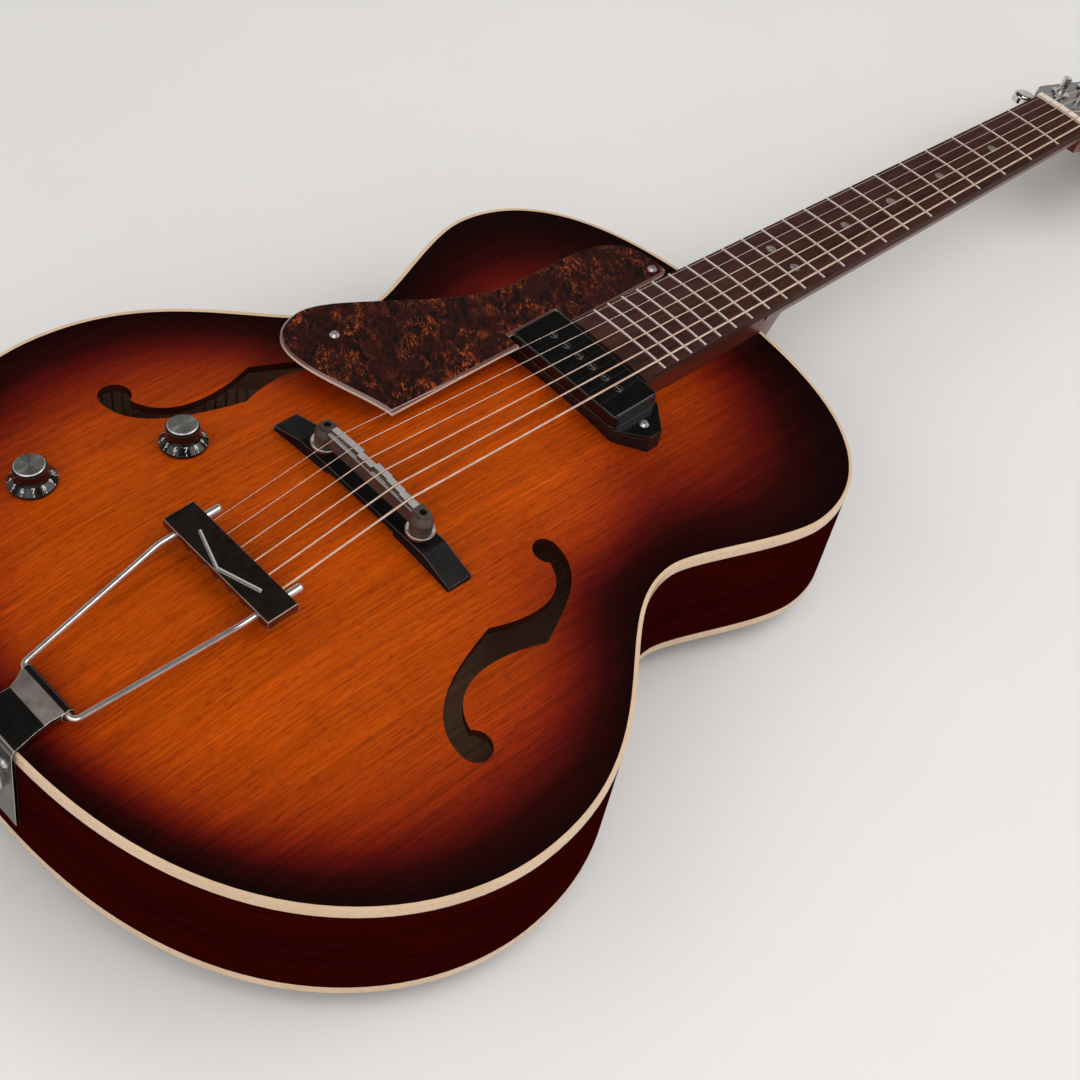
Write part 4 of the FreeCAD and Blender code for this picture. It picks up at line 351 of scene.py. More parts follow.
@dataclass(frozen=True)
class Finish:
    """What a surface is made of. Each kind gives the inputs of the surface shader."""

    label: str

    @functools.cache
    def material(self) -> bpy.types.Material:
        """Make the material, once.

        Returns:
            The material.
        """
        made = bpy.data.materials.new("finish_" + self.label)
        made.use_nodes = True
        board = Board(made.node_tree)
        board.finish(self.inputs(board))
        return made

    def inputs(self, board: Board) -> dict[str, Value]:
        """Work out the inputs of the surface shader.

        Args:
            board: The node tree to add nodes to.

        Returns:
            Values and wires by the names of their sockets.
        """
        raise NotImplementedError


@dataclass(frozen=True)
class Oval:
    """One oval of a sunburst: half width, half length, and where its middle lies along the body."""

    across: float
    along: float
    middle: float

    def depth(self, x: Wire, y: Wire) -> Wire:
        """Measure about how far a place lies inside the oval.

        Args:
            x: The place across the body.
            y: The place along the body.

        Returns:
            The depth, in metres.
        """
        from_middle = ((x / self.across) ** 2.0 + ((y - self.middle) / self.along) ** 2.0) ** 0.5
        return (1.0 - from_middle) * min(self.across, self.along)


@dataclass(frozen=True)
class Burst(Finish):
    """Lacquered wood, shaded from the middle of the body to its edge."""

    stops: Stops = ()
    reach: float = 0.100
    lower: Oval = Oval(across=0.2145, along=0.1682, middle=-0.3428)
    upper: Oval = Oval(across=0.1597, along=0.1052, middle=-0.0952)
    waist: Oval = Oval(across=0.1286, along=0.2016, middle=-0.2224)
    meeting: float = 0.040
    widths: Sequence[Pair] = (
        (0.0, 0.30), (0.10, 0.32), (0.335, 0.53), (0.60, 0.46), (0.83, 0.66))
    body_start: float = -0.51
    body_length: float = 0.52
    cloud_waves: Waves = (9.0, 5.0, 5.0)
    cloud_share: float = 0.09
    figure_waves: Waves = (45.0, 7.0, 20.0)
    line_waves: Waves = (560.0, 9.0, 60.0)
    fibre_waves: Waves = (900.0, 40.0, 60.0)
    fibre_tint: Colour = (1.16, 1.42, 1.0)
    fibre_strength: float = 0.75
    pore_waves: Waves = (1900.0, 150.0, 300.0)
    pore_tint: Colour = (0.40, 0.24, 0.15)
    pore_strength: float = 0.56
    grain_depth: float = 0.00006
    gloss: float = 0.11
    outside: float = 1.0
    bare: Colour = ink(196, 150, 124)
    cut: Colour = ink(52, 22, 12)

    def inputs(self, board: Board) -> dict[str, Value]:
        """Work out the inputs of the surface shader.

        Args:
            board: The node tree to add nodes to.

        Returns:
            Values and wires by the names of their sockets.
        """
        x, y, _ = board.split(board.place())
        bouts = board.math("MAXIMUM", self.lower.depth(x, y), self.upper.depth(x, y))
        depth = board.math("SMOOTH_MAX", bouts, self.waist.depth(x, y), self.meeting)
        along = (y - self.body_start) / self.body_length
        width = board.ramp(along, [(place, (share,) * 3) for place, share in self.widths])
        cloud = board.noise(self.cloud_waves, 2.0)
        burst = depth / (width * (2.0 * self.reach)) + (cloud - 0.5) * self.cloud_share
        colour = board.ramp(burst, self.stops)
        pores = board.noise(self.pore_waves, 3.0, 0.6)
        lines = board.noise(self.line_waves, 4.0, 0.65)
        figure = board.noise(self.figure_waves, 3.0, 0.55, 0.8)
        shade = board.span(figure, 0.3, 0.7, 0.88, 1.08) * board.span(lines, 0.3, 0.7, 0.74, 1.16)
        stroke = board.span(pores, 0.53, 0.65)
        fibre = board.span(board.noise(self.fibre_waves, 3.0, 0.6), 0.48, 0.68)
        golden = board.blend(colour, self.fibre_tint, fibre * self.fibre_strength, "MULTIPLY")
        toned = board.vector("SCALE", golden, shade)
        dark = board.blend(toned, self.pore_tint, stroke * self.pore_strength, "MULTIPLY")
        facing = board.facing((0.0, 0.0, self.outside))
        unseen = board.blend(self.bare, self.cut, board.span(facing, -0.7, -0.3))
        grained = board.vector("SCALE", unseen, shade)
        return {
            "Base Color": board.blend(grained, dark, board.span(facing, 0.35, 0.6)),
            "Roughness": board.span(figure, 0.2, 0.8, 0.34, 0.46),
            "Normal": board.relief(1.0 - stroke * 0.8 + lines * 0.2, self.grain_depth),
            "Coat Weight": board.span(cloud, 0.2, 0.8, self.gloss * 0.85, self.gloss),
            "Coat Roughness": 0.14,
            "Specular IOR Level": 0.04,
        }


@dataclass(frozen=True)
class Wood(Finish):
    """Wood of one tone, lacquered or bare."""

    light: Colour = (0.1, 0.05, 0.03)
    dark: Colour = (0.03, 0.01, 0.01)
    grain: Grain = Grain.ALONG
    fineness: float = 700.0
    pore: float = 0.5
    rough: float = 0.45
    gloss: float = 0.0
    edge: float = 0.0
    shine: float = 0.35
    figure_share: float = 0.07
    pore_share: float = 2.2
    pore_tint: Colour = (0.3, 0.22, 0.2)
    grain_depth: float = 0.00005

    def inputs(self, board: Board) -> dict[str, Value]:
        """Work out the inputs of the surface shader.

        Args:
            board: The node tree to add nodes to.

        Returns:
            Values and wires by the names of their sockets.
        """
        ways = self.grain.value
        stretch = [way * self.fineness for way in ways]
        lines = board.noise(stretch, 4.0, 0.6)
        figure = board.noise([way * self.fineness * self.figure_share for way in ways], 3.0, 0.55, 0.6)
        pores = board.noise([way * self.fineness * self.pore_share for way in ways], 2.0, 0.5)
        share = lines * 0.55 + figure * 0.45
        colour = board.ramp(share, [(0.33, self.dark), (0.66, self.light)])
        stroke = board.span(pores, 0.58, 0.72)
        return {
            "Base Color": board.blend(colour, self.pore_tint, stroke * self.pore, "MULTIPLY"),
            "Roughness": board.span(figure, 0.2, 0.8, self.rough * 0.85, self.rough * 1.15),
            "Normal": board.relief(1.0 - stroke * self.pore + lines * 0.3, self.grain_depth, self.edge),
            "Coat Weight": board.span(figure, 0.2, 0.8, self.gloss * 0.85, self.gloss),
            "Coat Roughness": 0.16,
            "Specular IOR Level": self.shine,
        }


@dataclass(frozen=True)
class RimWood(Wood):
    """Bent wood, lacquered on the outside of the body and bare inside."""

    bare: Colour = ink(200, 156, 124)
    middle: float = -0.45
    flatten: float = 0.35

    def inputs(self, board: Board) -> dict[str, Value]:
        """Work out the inputs of the surface shader.

        Args:
            board: The node tree to add nodes to.

        Returns:
            Values and wires by the names of their sockets.
        """
        inputs = super().inputs(board)
        from_middle = board.vector("SUBTRACT", board.place(), (0.0, self.middle, 0.0))
        outwards = board.vector("MULTIPLY", from_middle, (1.0, self.flatten, 0.0))
        outside = board.math("GREATER_THAN", board.facing(outwards), 0.0)
        inputs["Base Color"] = board.blend(self.bare, inputs["Base Color"], outside)
        return inputs


@dataclass(frozen=True)
class Plastic(Finish):
    """Moulded or cut plastic, bone, ebony or tape, with handling marks, and paler edges that are partly
    abrasion and partly a painted edge highlight.
    """

    colour: Colour = (0.01, 0.01, 0.01)
    mark: Colour = (0.03, 0.03, 0.03)
    worn: Colour = (0.2, 0.2, 0.2)
    wear: float = 0.3
    rough: float = 0.2
    gloss: float = 0.5
    edge: float = 0.0004
    speck: float = 260.0
    streak: Waves = (1.0, 1.0, 1.0)
    shine: float = 0.3
    scuff_share: float = 6.0
    scuff_depth: float = 0.00002
    wear_reach: float = 1.4

    def inputs(self, board: Board) -> dict[str, Value]:
        """Work out the inputs of the surface shader.

        Args:
            board: The node tree to add nodes to.

        Returns:
            Values and wires by the names of their sockets.
        """
        cloud = board.noise([way * self.speck for way in self.streak], 4.0, 0.6)
        scuffs = board.noise([way * self.speck * self.scuff_share for way in self.streak], 2.0, 0.7)
        # Paler colour along every edge: partly abrasion, partly a painted edge highlight.
        rubbed = board.edges(self.edge * self.wear_reach) * board.span(cloud, 0.25, 0.7, 0.35, 1.0)
        base = board.blend(self.colour, self.mark, board.span(cloud, 0.35, 0.75))
        return {
            "Base Color": board.blend(base, self.worn, rubbed * self.wear),
            "Roughness": board.span(scuffs, 0.3, 0.8, self.rough * 0.8, self.rough * 1.5),
            "Normal": board.relief(scuffs * 0.4 + cloud * 0.6, self.scuff_depth, self.edge),
            "Coat Weight": board.span(cloud, 0.2, 0.8, self.gloss, self.gloss * 0.8),
            "Coat Roughness": 0.09,
            "Specular IOR Level": self.shine,
        }


@dataclass(frozen=True)
class Tortoise(Finish):
    """Mottled sheet with its pale layers showing at the cut edge."""

    up: Point = UP
    turn: float = math.radians(35)
    cloud_waves: Waves = (90.0, 150.0, 90.0)
    flake_waves: Waves = (230.0, 560.0, 230.0)
    patch_waves: Waves = (42.0, 64.0, 42.0)
    sheet_depth: float = 0.00001
    edge: float = 0.0003
    deep: Colour = ink(16, 5, 4)
    brown: Colour = ink(54, 16, 10)
    amber: Colour = ink(176, 80, 26)
    bevel: Colour = ink(104, 70, 62)
    side: Colour = ink(226, 206, 190)

    def inputs(self, board: Board) -> dict[str, Value]:
        """Work out the inputs of the surface shader.

        Args:
            board: The node tree to add nodes to.

        Returns:
            Values and wires by the names of their sockets.
        """
        turned = board.tap("ShaderNodeVectorRotate", "Vector", {"rotation_type": "Z_AXIS"}, {
            "Vector": board.place(), "Angle": self.turn})
        clouds = board.noise(self.cloud_waves, 5.0, 0.62, 1.6, turned)
        flakes = board.noise(self.flake_waves, 4.0, 0.62, 1.8, turned)
        patches = board.noise(self.patch_waves, 3.0, 0.5, 0.8, turned)
        base = board.ramp(clouds, [(0.36, self.deep), (0.62, self.brown)])
        fleck = board.span(flakes * 0.6 + clouds * 0.4, 0.50, 0.64) * board.span(patches, 0.42, 0.62)
        sheet = board.blend(base, self.amber, fleck)
        facing = board.facing(self.up)
        cut = board.blend(self.side, self.bevel, board.span(facing, 0.3, 0.45))
        return {
            "Base Color": board.blend(cut, sheet, board.span(facing, 0.88, 0.95)),
            "Roughness": board.span(flakes, 0.2, 0.8, 0.14, 0.24),
            "Normal": board.relief(clouds, self.sheet_depth, self.edge),
            "Coat Weight": board.span(facing, 0.3, 0.9, 0.2, 0.7),
            "Coat Roughness": 0.06,
        }


@dataclass(frozen=True)
class Metal(Finish):
    """Plated, drawn, spun or wound metal."""

    bright: Colour = (0.75, 0.74, 0.72)
    dull: Colour = (0.5, 0.49, 0.47)
    rough: float = 0.12
    edge: float = 0.0003
    tooling: Tooling = Tooling.POLISHED
    ridges: float = 40.0
    depth: float = 0.00001
    metallic: float = 1.0
    brushed: float = 0.0
    rubbed: float = 0.0
    rub_reach: float = 0.0006
    rub_satin: float = 0.5
    glint: Colour = ink(240, 236, 230)
    drawn_waves: Waves = (2400.0, 60.0, 2400.0)
    polish_waves: Waves = (900.0, 900.0, 900.0)
    smudge_waves: Waves = (120.0, 120.0, 120.0)
    shadow: float = 0.35

    def height(self, board: Board) -> Wire:
        """Draw the marks of the tool.

        Args:
            board: The node tree to add nodes to.

        Returns:
            Their height, from 0 to 1.
        """
        if self.tooling is Tooling.WOUND:
            _, along, _ = board.split(board.place())
            return board.math("SINE", along * self.ridges) * 0.5 + 0.5
        if self.tooling is Tooling.DRAWN:
            return board.noise(self.drawn_waves, 2.0)
        if self.tooling is Tooling.POLISHED:
            return board.noise(self.polish_waves, 2.0)
        x, y, z = board.split(board.middle())
        if self.tooling is Tooling.SPUN:
            radius = (x ** 2.0 + y ** 2.0) ** 0.5
            return board.math("SINE", radius * self.ridges) * 0.5 + 0.5
        second = z if self.tooling is Tooling.KNURLED_Y else y
        return board.math("SINE", board.math("ARCTAN2", second, x) * self.ridges) * 0.5 + 0.5

    def inputs(self, board: Board) -> dict[str, Value]:
        """Work out the inputs of the surface shader.

        Args:
            board: The node tree to add nodes to.

        Returns:
            Values and wires by the names of their sockets.
        """
        height = self.height(board)
        smudge = board.noise(self.smudge_waves, 4.0, 0.6)
        tarnish = board.span(smudge, 0.35, 0.75)
        colour = board.blend(self.bright, self.dull, tarnish)
        toned = board.blend(colour, self.dull, (1.0 - height) * self.shadow)
        inputs = {
            "Base Color": toned,
            "Metallic": self.metallic,
            "Anisotropic": self.brushed,
            "Roughness": board.span(smudge, 0.25, 0.8, self.rough * 0.8, self.rough * 1.5),
            "Normal": board.relief(height, self.depth, self.edge),
        }
        # Painted edge highlight: the edges blend to the pale glint colour and lose metallic shine.
        if self.rubbed:
            worn = board.edges(self.rub_reach) * self.rubbed
            inputs["Base Color"] = board.blend(toned, self.glint, worn)
            inputs["Metallic"] = self.metallic - worn * self.rub_satin
        return inputs


@dataclass(frozen=True)
class SpunMetal(Metal):
    """A cap with fine rings on its disc and a dark wall."""

    wall: Colour = ink(40, 32, 29)

    def inputs(self, board: Board) -> dict[str, Value]:
        """Work out the inputs of the surface shader.

        Args:
            board: The node tree to add nodes to.

        Returns:
            Values and wires by the names of their sockets.
        """
        inputs = super().inputs(board)
        disc = board.span(board.facing(UP), 0.25, 0.6)
        inputs["Base Color"] = board.blend(self.wall, inputs["Base Color"], disc)
        return inputs


@dataclass(frozen=True)
class RidgedMetal(Metal):
    """Chrome plate painted dark as a painted reflection, with a painted highlight on a raised V that stands
    above a tilted plane.
    """

    plane: Point = UP
    level: float = 0.0
    vee_point: float = 0.0
    vee_slope: float = 0.33
    vee_half: float = 0.00052
    ridge: Colour = ink(226, 220, 214)
    ridge_satin: float = 0.45

    def inputs(self, board: Board) -> dict[str, Value]:
        """Work out the inputs of the surface shader.

        Args:
            board: The node tree to add nodes to.

        Returns:
            Values and wires by the names of their sockets.
        """
        inputs = super().inputs(board)
        place = board.place()
        x, y, _ = board.split(place)
        above = board.math("GREATER_THAN", board.dot(place, self.plane), self.level)
        level_off = abs(abs(x) * self.vee_slope - (y - self.vee_point))
        off_line = level_off * math.cos(math.atan(self.vee_slope))
        # Painted highlight on the V that stands proud of the plane: a pale colour with less metallic shine.
        ridge_highlight_mask = above * board.math("LESS_THAN", off_line, self.vee_half)
        inputs["Base Color"] = board.blend(inputs["Base Color"], self.ridge, ridge_highlight_mask)
        inputs["Metallic"] = inputs["Metallic"] - ridge_highlight_mask * self.ridge_satin
        return inputs


@dataclass(frozen=True)
class CrownedMetal(Metal):
    """Cast metal with a painted highlight on its upward faces."""

    crown: Colour = ink(196, 192, 188)
    from_facing: float = 0.55
    to_facing: float = 0.85
    half_length: float = 1.0

    def inputs(self, board: Board) -> dict[str, Value]:
        """Work out the inputs of the surface shader.

        Args:
            board: The node tree to add nodes to.

        Returns:
            Values and wires by the names of their sockets.
        """
        inputs = super().inputs(board)
        # Painted highlight: faces that look up take the pale highlight colour.
        upper = board.span(board.facing(UP), self.from_facing, self.to_facing)
        within = board.math("LESS_THAN", abs(board.split(board.place())[0]), self.half_length)
        inputs["Base Color"] = board.blend(inputs["Base Color"], self.crown, upper * within)
        return inputs


@dataclass(frozen=True)
class Pearl(Finish):
    """Shell with soft bands of light."""

    light: Colour = ink(150, 144, 140)
    shade: Colour = ink(84, 76, 74)
    band_waves: Waves = (160.0, 420.0, 160.0)
    band_depth: float = 0.00002

    def inputs(self, board: Board) -> dict[str, Value]:
        """Work out the inputs of the surface shader.

        Args:
            board: The node tree to add nodes to.

        Returns:
            Values and wires by the names of their sockets.
        """
        bands = board.noise(self.band_waves, 3.0, 0.5, 2.0)
        return {
            "Base Color": board.ramp(bands, [(0.35, self.shade), (0.7, self.light)]),
            "Roughness": board.span(bands, 0.2, 0.8, 0.16, 0.3),
            "Normal": board.relief(bands, self.band_depth),
            "Coat Weight": board.span(bands, 0.2, 0.8, 0.3, 0.6),
        }


TOP_STOPS: Stops = (
    (0.0, ink(18, 1, 1)), (0.10, ink(24, 2, 1)), (0.22, ink(44, 3, 2)), (0.32, ink(82, 10, 4)),
    (0.42, ink(116, 27, 4)), (0.52, ink(143, 44, 3)), (0.65, ink(160, 56, 2)), (0.82, ink(170, 64, 1)),
    (1.0, ink(175, 68, 1)))
BACK_STOPS: Stops = (
    (0.0, ink(20, 3, 3)), (0.2, ink(40, 6, 4)), (0.45, ink(92, 26, 12)), (0.75, ink(128, 46, 14)),
    (1.0, ink(140, 56, 18)))

TOP = Burst("burst_top", TOP_STOPS)
BACK = Burst("burst_back", BACK_STOPS, outside=-1.0)
RIM = RimWood("rim_wood", ink(54, 6, 5), ink(30, 2, 2), Grain.ROUND_RIM, fineness=420.0, pore=0.45, rough=0.5,
              shine=0.0)
NECK_WOOD = Wood("neck_wood", ink(104, 40, 20), ink(66, 22, 12), fineness=600.0, rough=0.4, gloss=0.35)
BARE_WOOD = Wood("bare_wood", ink(228, 198, 168), ink(196, 162, 132), fineness=520.0, pore=0.3, rough=0.7)
BLOCK_WOOD = Wood("block_wood", ink(168, 132, 94), ink(132, 98, 64), Grain.ACROSS, fineness=520.0, pore=0.3,
                  rough=0.7)
ROSEWOOD = Wood("rosewood", ink(78, 48, 42), ink(42, 24, 20), fineness=900.0, pore=0.75, rough=0.5,
                edge=0.0004, shine=0.06)

LACQUER = Plastic("black_lacquer", ink(10, 9, 9), ink(16, 14, 14), ink(60, 50, 46), rough=0.16, gloss=0.7)
BINDING = Plastic("cream_binding", ink(216, 186, 154), ink(206, 174, 141), ink(236, 216, 194), wear=0.4,
                  rough=0.3, gloss=0.4, edge=0.0005, speck=40.0)
BONE = Plastic("cream_nut", ink(226, 212, 196), ink(212, 194, 172), ink(240, 230, 218), wear=0.4, rough=0.36,
               gloss=0.3, speck=300.0)
GLOSS_BLACK = Plastic("gloss_black", ink(9, 8, 8), ink(14, 13, 12), ink(84, 76, 72), wear=0.6, rough=0.16,
                      gloss=0.4, edge=0.0006)
MATT_BLACK = Plastic("matt_black", ink(16, 13, 12), ink(24, 20, 18), ink(74, 64, 58), wear=0.6, rough=0.34,
                     gloss=0.2)
EBONY = Plastic("ebony", ink(13, 11, 11), ink(26, 24, 24), ink(150, 146, 142), wear=0.75, rough=0.36,
                gloss=0.0, edge=0.00035, speck=220.0, streak=(0.15, 2.0, 1.0), shine=0.1)
TAPE = Plastic("coil_tape", ink(30, 28, 26), ink(44, 40, 36), ink(70, 64, 58), rough=0.5, gloss=0.0)
JACKET = Plastic("lead_jacket", ink(60, 56, 52), ink(84, 78, 70), ink(110, 100, 90), wear=0.2, rough=0.6,
                 gloss=0.0)
WHITE_PRINT = Plastic("white_print", ink(226, 224, 220), ink(206, 202, 196), ink(236, 234, 230), rough=0.4,
                      gloss=0.1)
PEARL = Pearl("pearl")

CHROME = Metal("chrome", ink(222, 220, 218), ink(176, 172, 170), rough=0.10)
ROD_CHROME = Metal("rod_chrome", ink(244, 238, 232), ink(206, 198, 192), metallic=0.85)
# Bracket chrome with a painted highlight along its edges.
BRACKET_CHROME = Metal("bracket_chrome", ink(116, 109, 105), ink(88, 82, 79), rough=0.13, edge=0.0004,
                       tooling=Tooling.DRAWN, depth=0.00002, rubbed=0.9)
# Saddle: its brown-grey base is partly a painted reflection of the wood, and its crest has a painted
# highlight.
GUNMETAL = CrownedMetal("gunmetal", ink(104, 92, 85), ink(72, 63, 58), rough=0.36, tooling=Tooling.DRAWN,
                        metallic=0.55, crown=ink(204, 199, 195), half_length=0.0328)
STUD_STEEL = Metal("stud_steel", ink(96, 90, 88), ink(50, 46, 45), rough=0.2)
KNURLED_PIN = Metal("knurled_pin", ink(214, 210, 206), ink(150, 146, 142), rough=0.16,
                    tooling=Tooling.KNURLED_Y, ridges=44.0, depth=0.0004)
KNURLED_WHEEL = Metal("knurled_wheel", ink(224, 216, 208), ink(160, 150, 144), rough=0.16, edge=0.0002,
                      tooling=Tooling.KNURLED_Z, ridges=54.0, depth=0.0003)
SPUN = SpunMetal("spun_aluminium", ink(232, 229, 226), ink(170, 166, 162), rough=0.3, edge=0.0002,
                 tooling=Tooling.SPUN, ridges=9000.0, brushed=0.9)
# Frets: the sides are painted dark as a painted reflection, and the tops have a painted highlight.
FRET_WIRE = CrownedMetal("fret_wire", ink(112, 92, 84), ink(84, 66, 60), rough=0.24, edge=0.0,
                         tooling=Tooling.DRAWN, depth=0.000005, metallic=0.4, crown=ink(250, 234, 224),
                         from_facing=0.80, to_facing=0.93)
BRONZE = Metal("bronze_string", ink(240, 212, 190), ink(214, 176, 150), rough=0.34, edge=0.0,
               tooling=Tooling.WOUND, ridges=18000.0, depth=0.00003, metallic=0.6)
PLAIN_STEEL = Metal("plain_string", ink(236, 218, 204), ink(204, 186, 174), rough=0.22, edge=0.0,
                    tooling=Tooling.DRAWN, depth=0.000004, metallic=0.6)
SCREW_STEEL = Metal("screw_steel", ink(214, 210, 206), ink(150, 146, 142), rough=0.2, metallic=0.75)
# Pole screws with a painted highlight along their edges.
POLE_STEEL = Metal("pole_steel", ink(104, 98, 94), ink(58, 54, 52), rough=0.18, rubbed=0.5)
BRASS = Metal("brass_plate", ink(196, 160, 96), ink(150, 118, 66), rough=0.3)
MAGNET = Metal("magnet", ink(96, 92, 90), ink(70, 66, 64), rough=0.45)


def node(name: str) -> bpy.types.Object:
    """A CAD node by name."""
    return frame["nodes"][name]


def dress(finish: Finish, *names: str) -> None:
    """Give CAD nodes a finish.

    Args:
        finish: The finish.
        names: The nodes.
    """
    for name in names:
        for place in node(name).material_slots:
            place.material = finish.material()
        LOG.info("%s wears %s", name, finish.label)


def piece(name: str, shape: bmesh.types.BMesh, finish: Finish, body: str | None,
          slot: str | None = None) -> bpy.types.Object:
    """Turn a built mesh into a piece that rides on a body.

    Args:
        name: The piece's name.
        shape: Its mesh, in the frame's metres.
        finish: Its finish.
        body: The CAD body that it moves with, or None for a piece that is left unattached.
        slot: The record's material slot; not used.

    Returns:
        The new object.
    """
    bmesh.ops.recalc_face_normals(shape, faces=shape.faces)
    data = bpy.data.meshes.new(name)
    shape.to_mesh(data)
    shape.free()
    made = bpy.data.objects.new(name, data)
    data.materials.append(finish.material())
    bpy.context.scene.collection.objects.link(made)
    if body:
        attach(made, body)
    LOG.info("%s built, %d faces", name, len(data.polygons))
    return made


@dataclass
class Outline:
    """The edge of the body: four Bezier spans on each side, in metres from the saddle line."""

    stations: Sequence[Pair] = (
        (0.0, -0.232), (0.2076, -0.0743), (0.1227, 0.102), (0.1498, 0.1945), (0.0, 0.281))
    headings: Sequence[Pair] = ((1, 0), (0, 1), (0, 1), (0, 1), (-1, 0))
    handles: Sequence[Pair] = ((0.1498, 0.0676), (0.0984, 0.0531), (0.018, 0.0272), (0.0387, 0.12))
    steps: int = 90

    def half(self) -> list[Vector]:
        """Follow the bass half from the tail to the shoulder.

        Returns:
            Points along it.
        """
        points = []
        for index, (leave, arrive) in enumerate(self.handles):
            start, end = Vector(self.stations[index]), Vector(self.stations[index + 1])
            first = start + Vector(self.headings[index]) * leave
            last = end - Vector(self.headings[index + 1]) * arrive
            for step in range(self.steps):
                share = step / self.steps
                rest = 1 - share
                leaving = start * rest ** 3 + first * (3 * rest ** 2 * share)
                points.append(leaving + last * (3 * rest * share ** 2) + end * share ** 3)
        return [*points, Vector(self.stations[-1])]

    def even(self, gap: float) -> Iterator[tuple[Vector, Vector]]:
        """Step along the bass half.

        Args:
            gap: The length of a step, in metres.

        Yields:
            Each place, with the direction inwards.
        """
        points = self.half()
        travelled = 0.0
        due = gap / 2
        for before, after in zip(points, points[1:]):
            run = after - before
            while travelled + run.length >= due:
                spot = before + run * ((due - travelled) / run.length)
                yield spot, Vector((-run.y, run.x)).normalized()
                due += gap
            travelled += run.length


@dataclass(frozen=True)
class Strip:
    """One lining strip: its lower and upper edge, and 1 or -1 for the edge that is glued."""

    bottom: float
    top: float
    glued: int

    def profile(self, back: float, thick: float, thin: float) -> list[Pair]:
        """Draw the strip's section, thick at its glued edge and thin at the other.

        Args:
            back: How far inside the outline its back lies.
            thick: The same for its front at the glued edge.
            thin: The same for its front at the free edge.

        Returns:
            Corners, as inset and height.
        """
        bottom, top = self.bottom, self.top
        shoulder = (bottom + 2 * top) / 3 if self.glued > 0 else (top + 2 * bottom) / 3
        lower, upper = (thin, thick) if self.glued > 0 else (thick, thin)
        return [(back, bottom), (lower, bottom), (thick, shoulder), (upper, top), (back, top)]


@dataclass
class BodyBox:
    """The hollow body: plates, sides, binding, blocks and linings."""

    outline: Outline = field(default_factory=Outline)
    rim_thickness: float = 0.003
    kerf_pitch: float = 0.0062
    kerf_gap: float = 0.0013
    strip_width: float = 0.0058
    strip_back: float = 0.0014
    strip_height: float = 0.014
    block_clear: float = 0.0405
    block_from: float = 0.15

    def build(self) -> None:
        """Dress the body and build its kerfed linings."""
        dress(TOP, "top_plate")
        dress(BACK, "back_plate")
        dress(RIM, "side_bass", "side_treble")
        dress(BINDING, "binding")
        dress(BLOCK_WOOD, "neck_block", "end_block")
        dress(BARE_WOOD, "tone_bars", "linings")
        self.linings()

    def linings(self) -> None:
        """Build the lining strips as rows of small blocks with saw cuts between them."""
        low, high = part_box("linings")
        strips = (Strip(high.z - self.strip_height, high.z, 1), Strip(low.z, low.z + self.strip_height, -1))
        shape = bmesh.new()
        for spot, inwards in self.outline.even(self.kerf_pitch):
            if abs(spot.x) < self.block_clear and abs(spot.y) > self.block_from:
                continue
            for side in (1, -1):
                for strip in strips:
                    self.kerf(shape, spot, inwards, side, strip)
        made = piece("kerfed_linings", shape, BARE_WOOD, "guitar", "inner_wood")
        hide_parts("linings")

    def kerf(self, shape: bmesh.types.BMesh, spot: Vector, inwards: Vector, side: int, strip: Strip) -> None:
        """Add one block of a lining between two saw cuts.

        Args:
            shape: The mesh to add it to.
            spot: Its place on the outline.
            inwards: The direction into the body there.
            side: 1 for the bass side, -1 for the treble side.
            strip: The strip that it is cut from.
        """
        along = Vector((inwards.y, -inwards.x)) * ((self.kerf_pitch - self.kerf_gap) / 2)
        thick = self.rim_thickness + self.strip_width
        thin = self.rim_thickness + self.strip_back
        profile = strip.profile(self.rim_thickness, thick, thin)
        ends = []
        for end in (-1, 1):
            row = []
            for inset, height in profile:
                flat = spot + along * end + inwards * inset
                row.append(shape.verts.new((side * flat.x, flat.y + SADDLE_LINE, height)))
            ends.append(row)
        shape.faces.new(ends[0])
        shape.faces.new(list(reversed(ends[1])))
        count = len(profile)
        for index in range(count):
            other = (index + 1) % count
            shape.faces.new((ends[0][index], ends[1][index], ends[1][other], ends[0][other]))


@dataclass
class Neck:
    """Neck, fingerboard, frets, nut and head."""

    def build(self) -> None:
        """Dress the neck and the head."""
        dress(NECK_WOOD, "neck")
        dress(LACQUER, "head_veneer")
        dress(GLOSS_BLACK, "truss_rod_cover")
        dress(SCREW_STEEL, "truss_rod", "screws")
        dress(ROSEWOOD, "fingerboard")
        dress(FRET_WIRE, "frets")
        dress(PEARL, "position_dots")
        dress(BONE, "nut")


@dataclass
class Tuners:
    """Six geared tuners."""

    count: int = 6

    def build(self) -> None:
        """Dress the tuners."""
        dress(CHROME, "tuner_housings", "tuner_bushings")
        for number in range(1, self.count + 1):
            dress(CHROME, "tuner_key_%d" % number, "tuner_post_%d" % number)


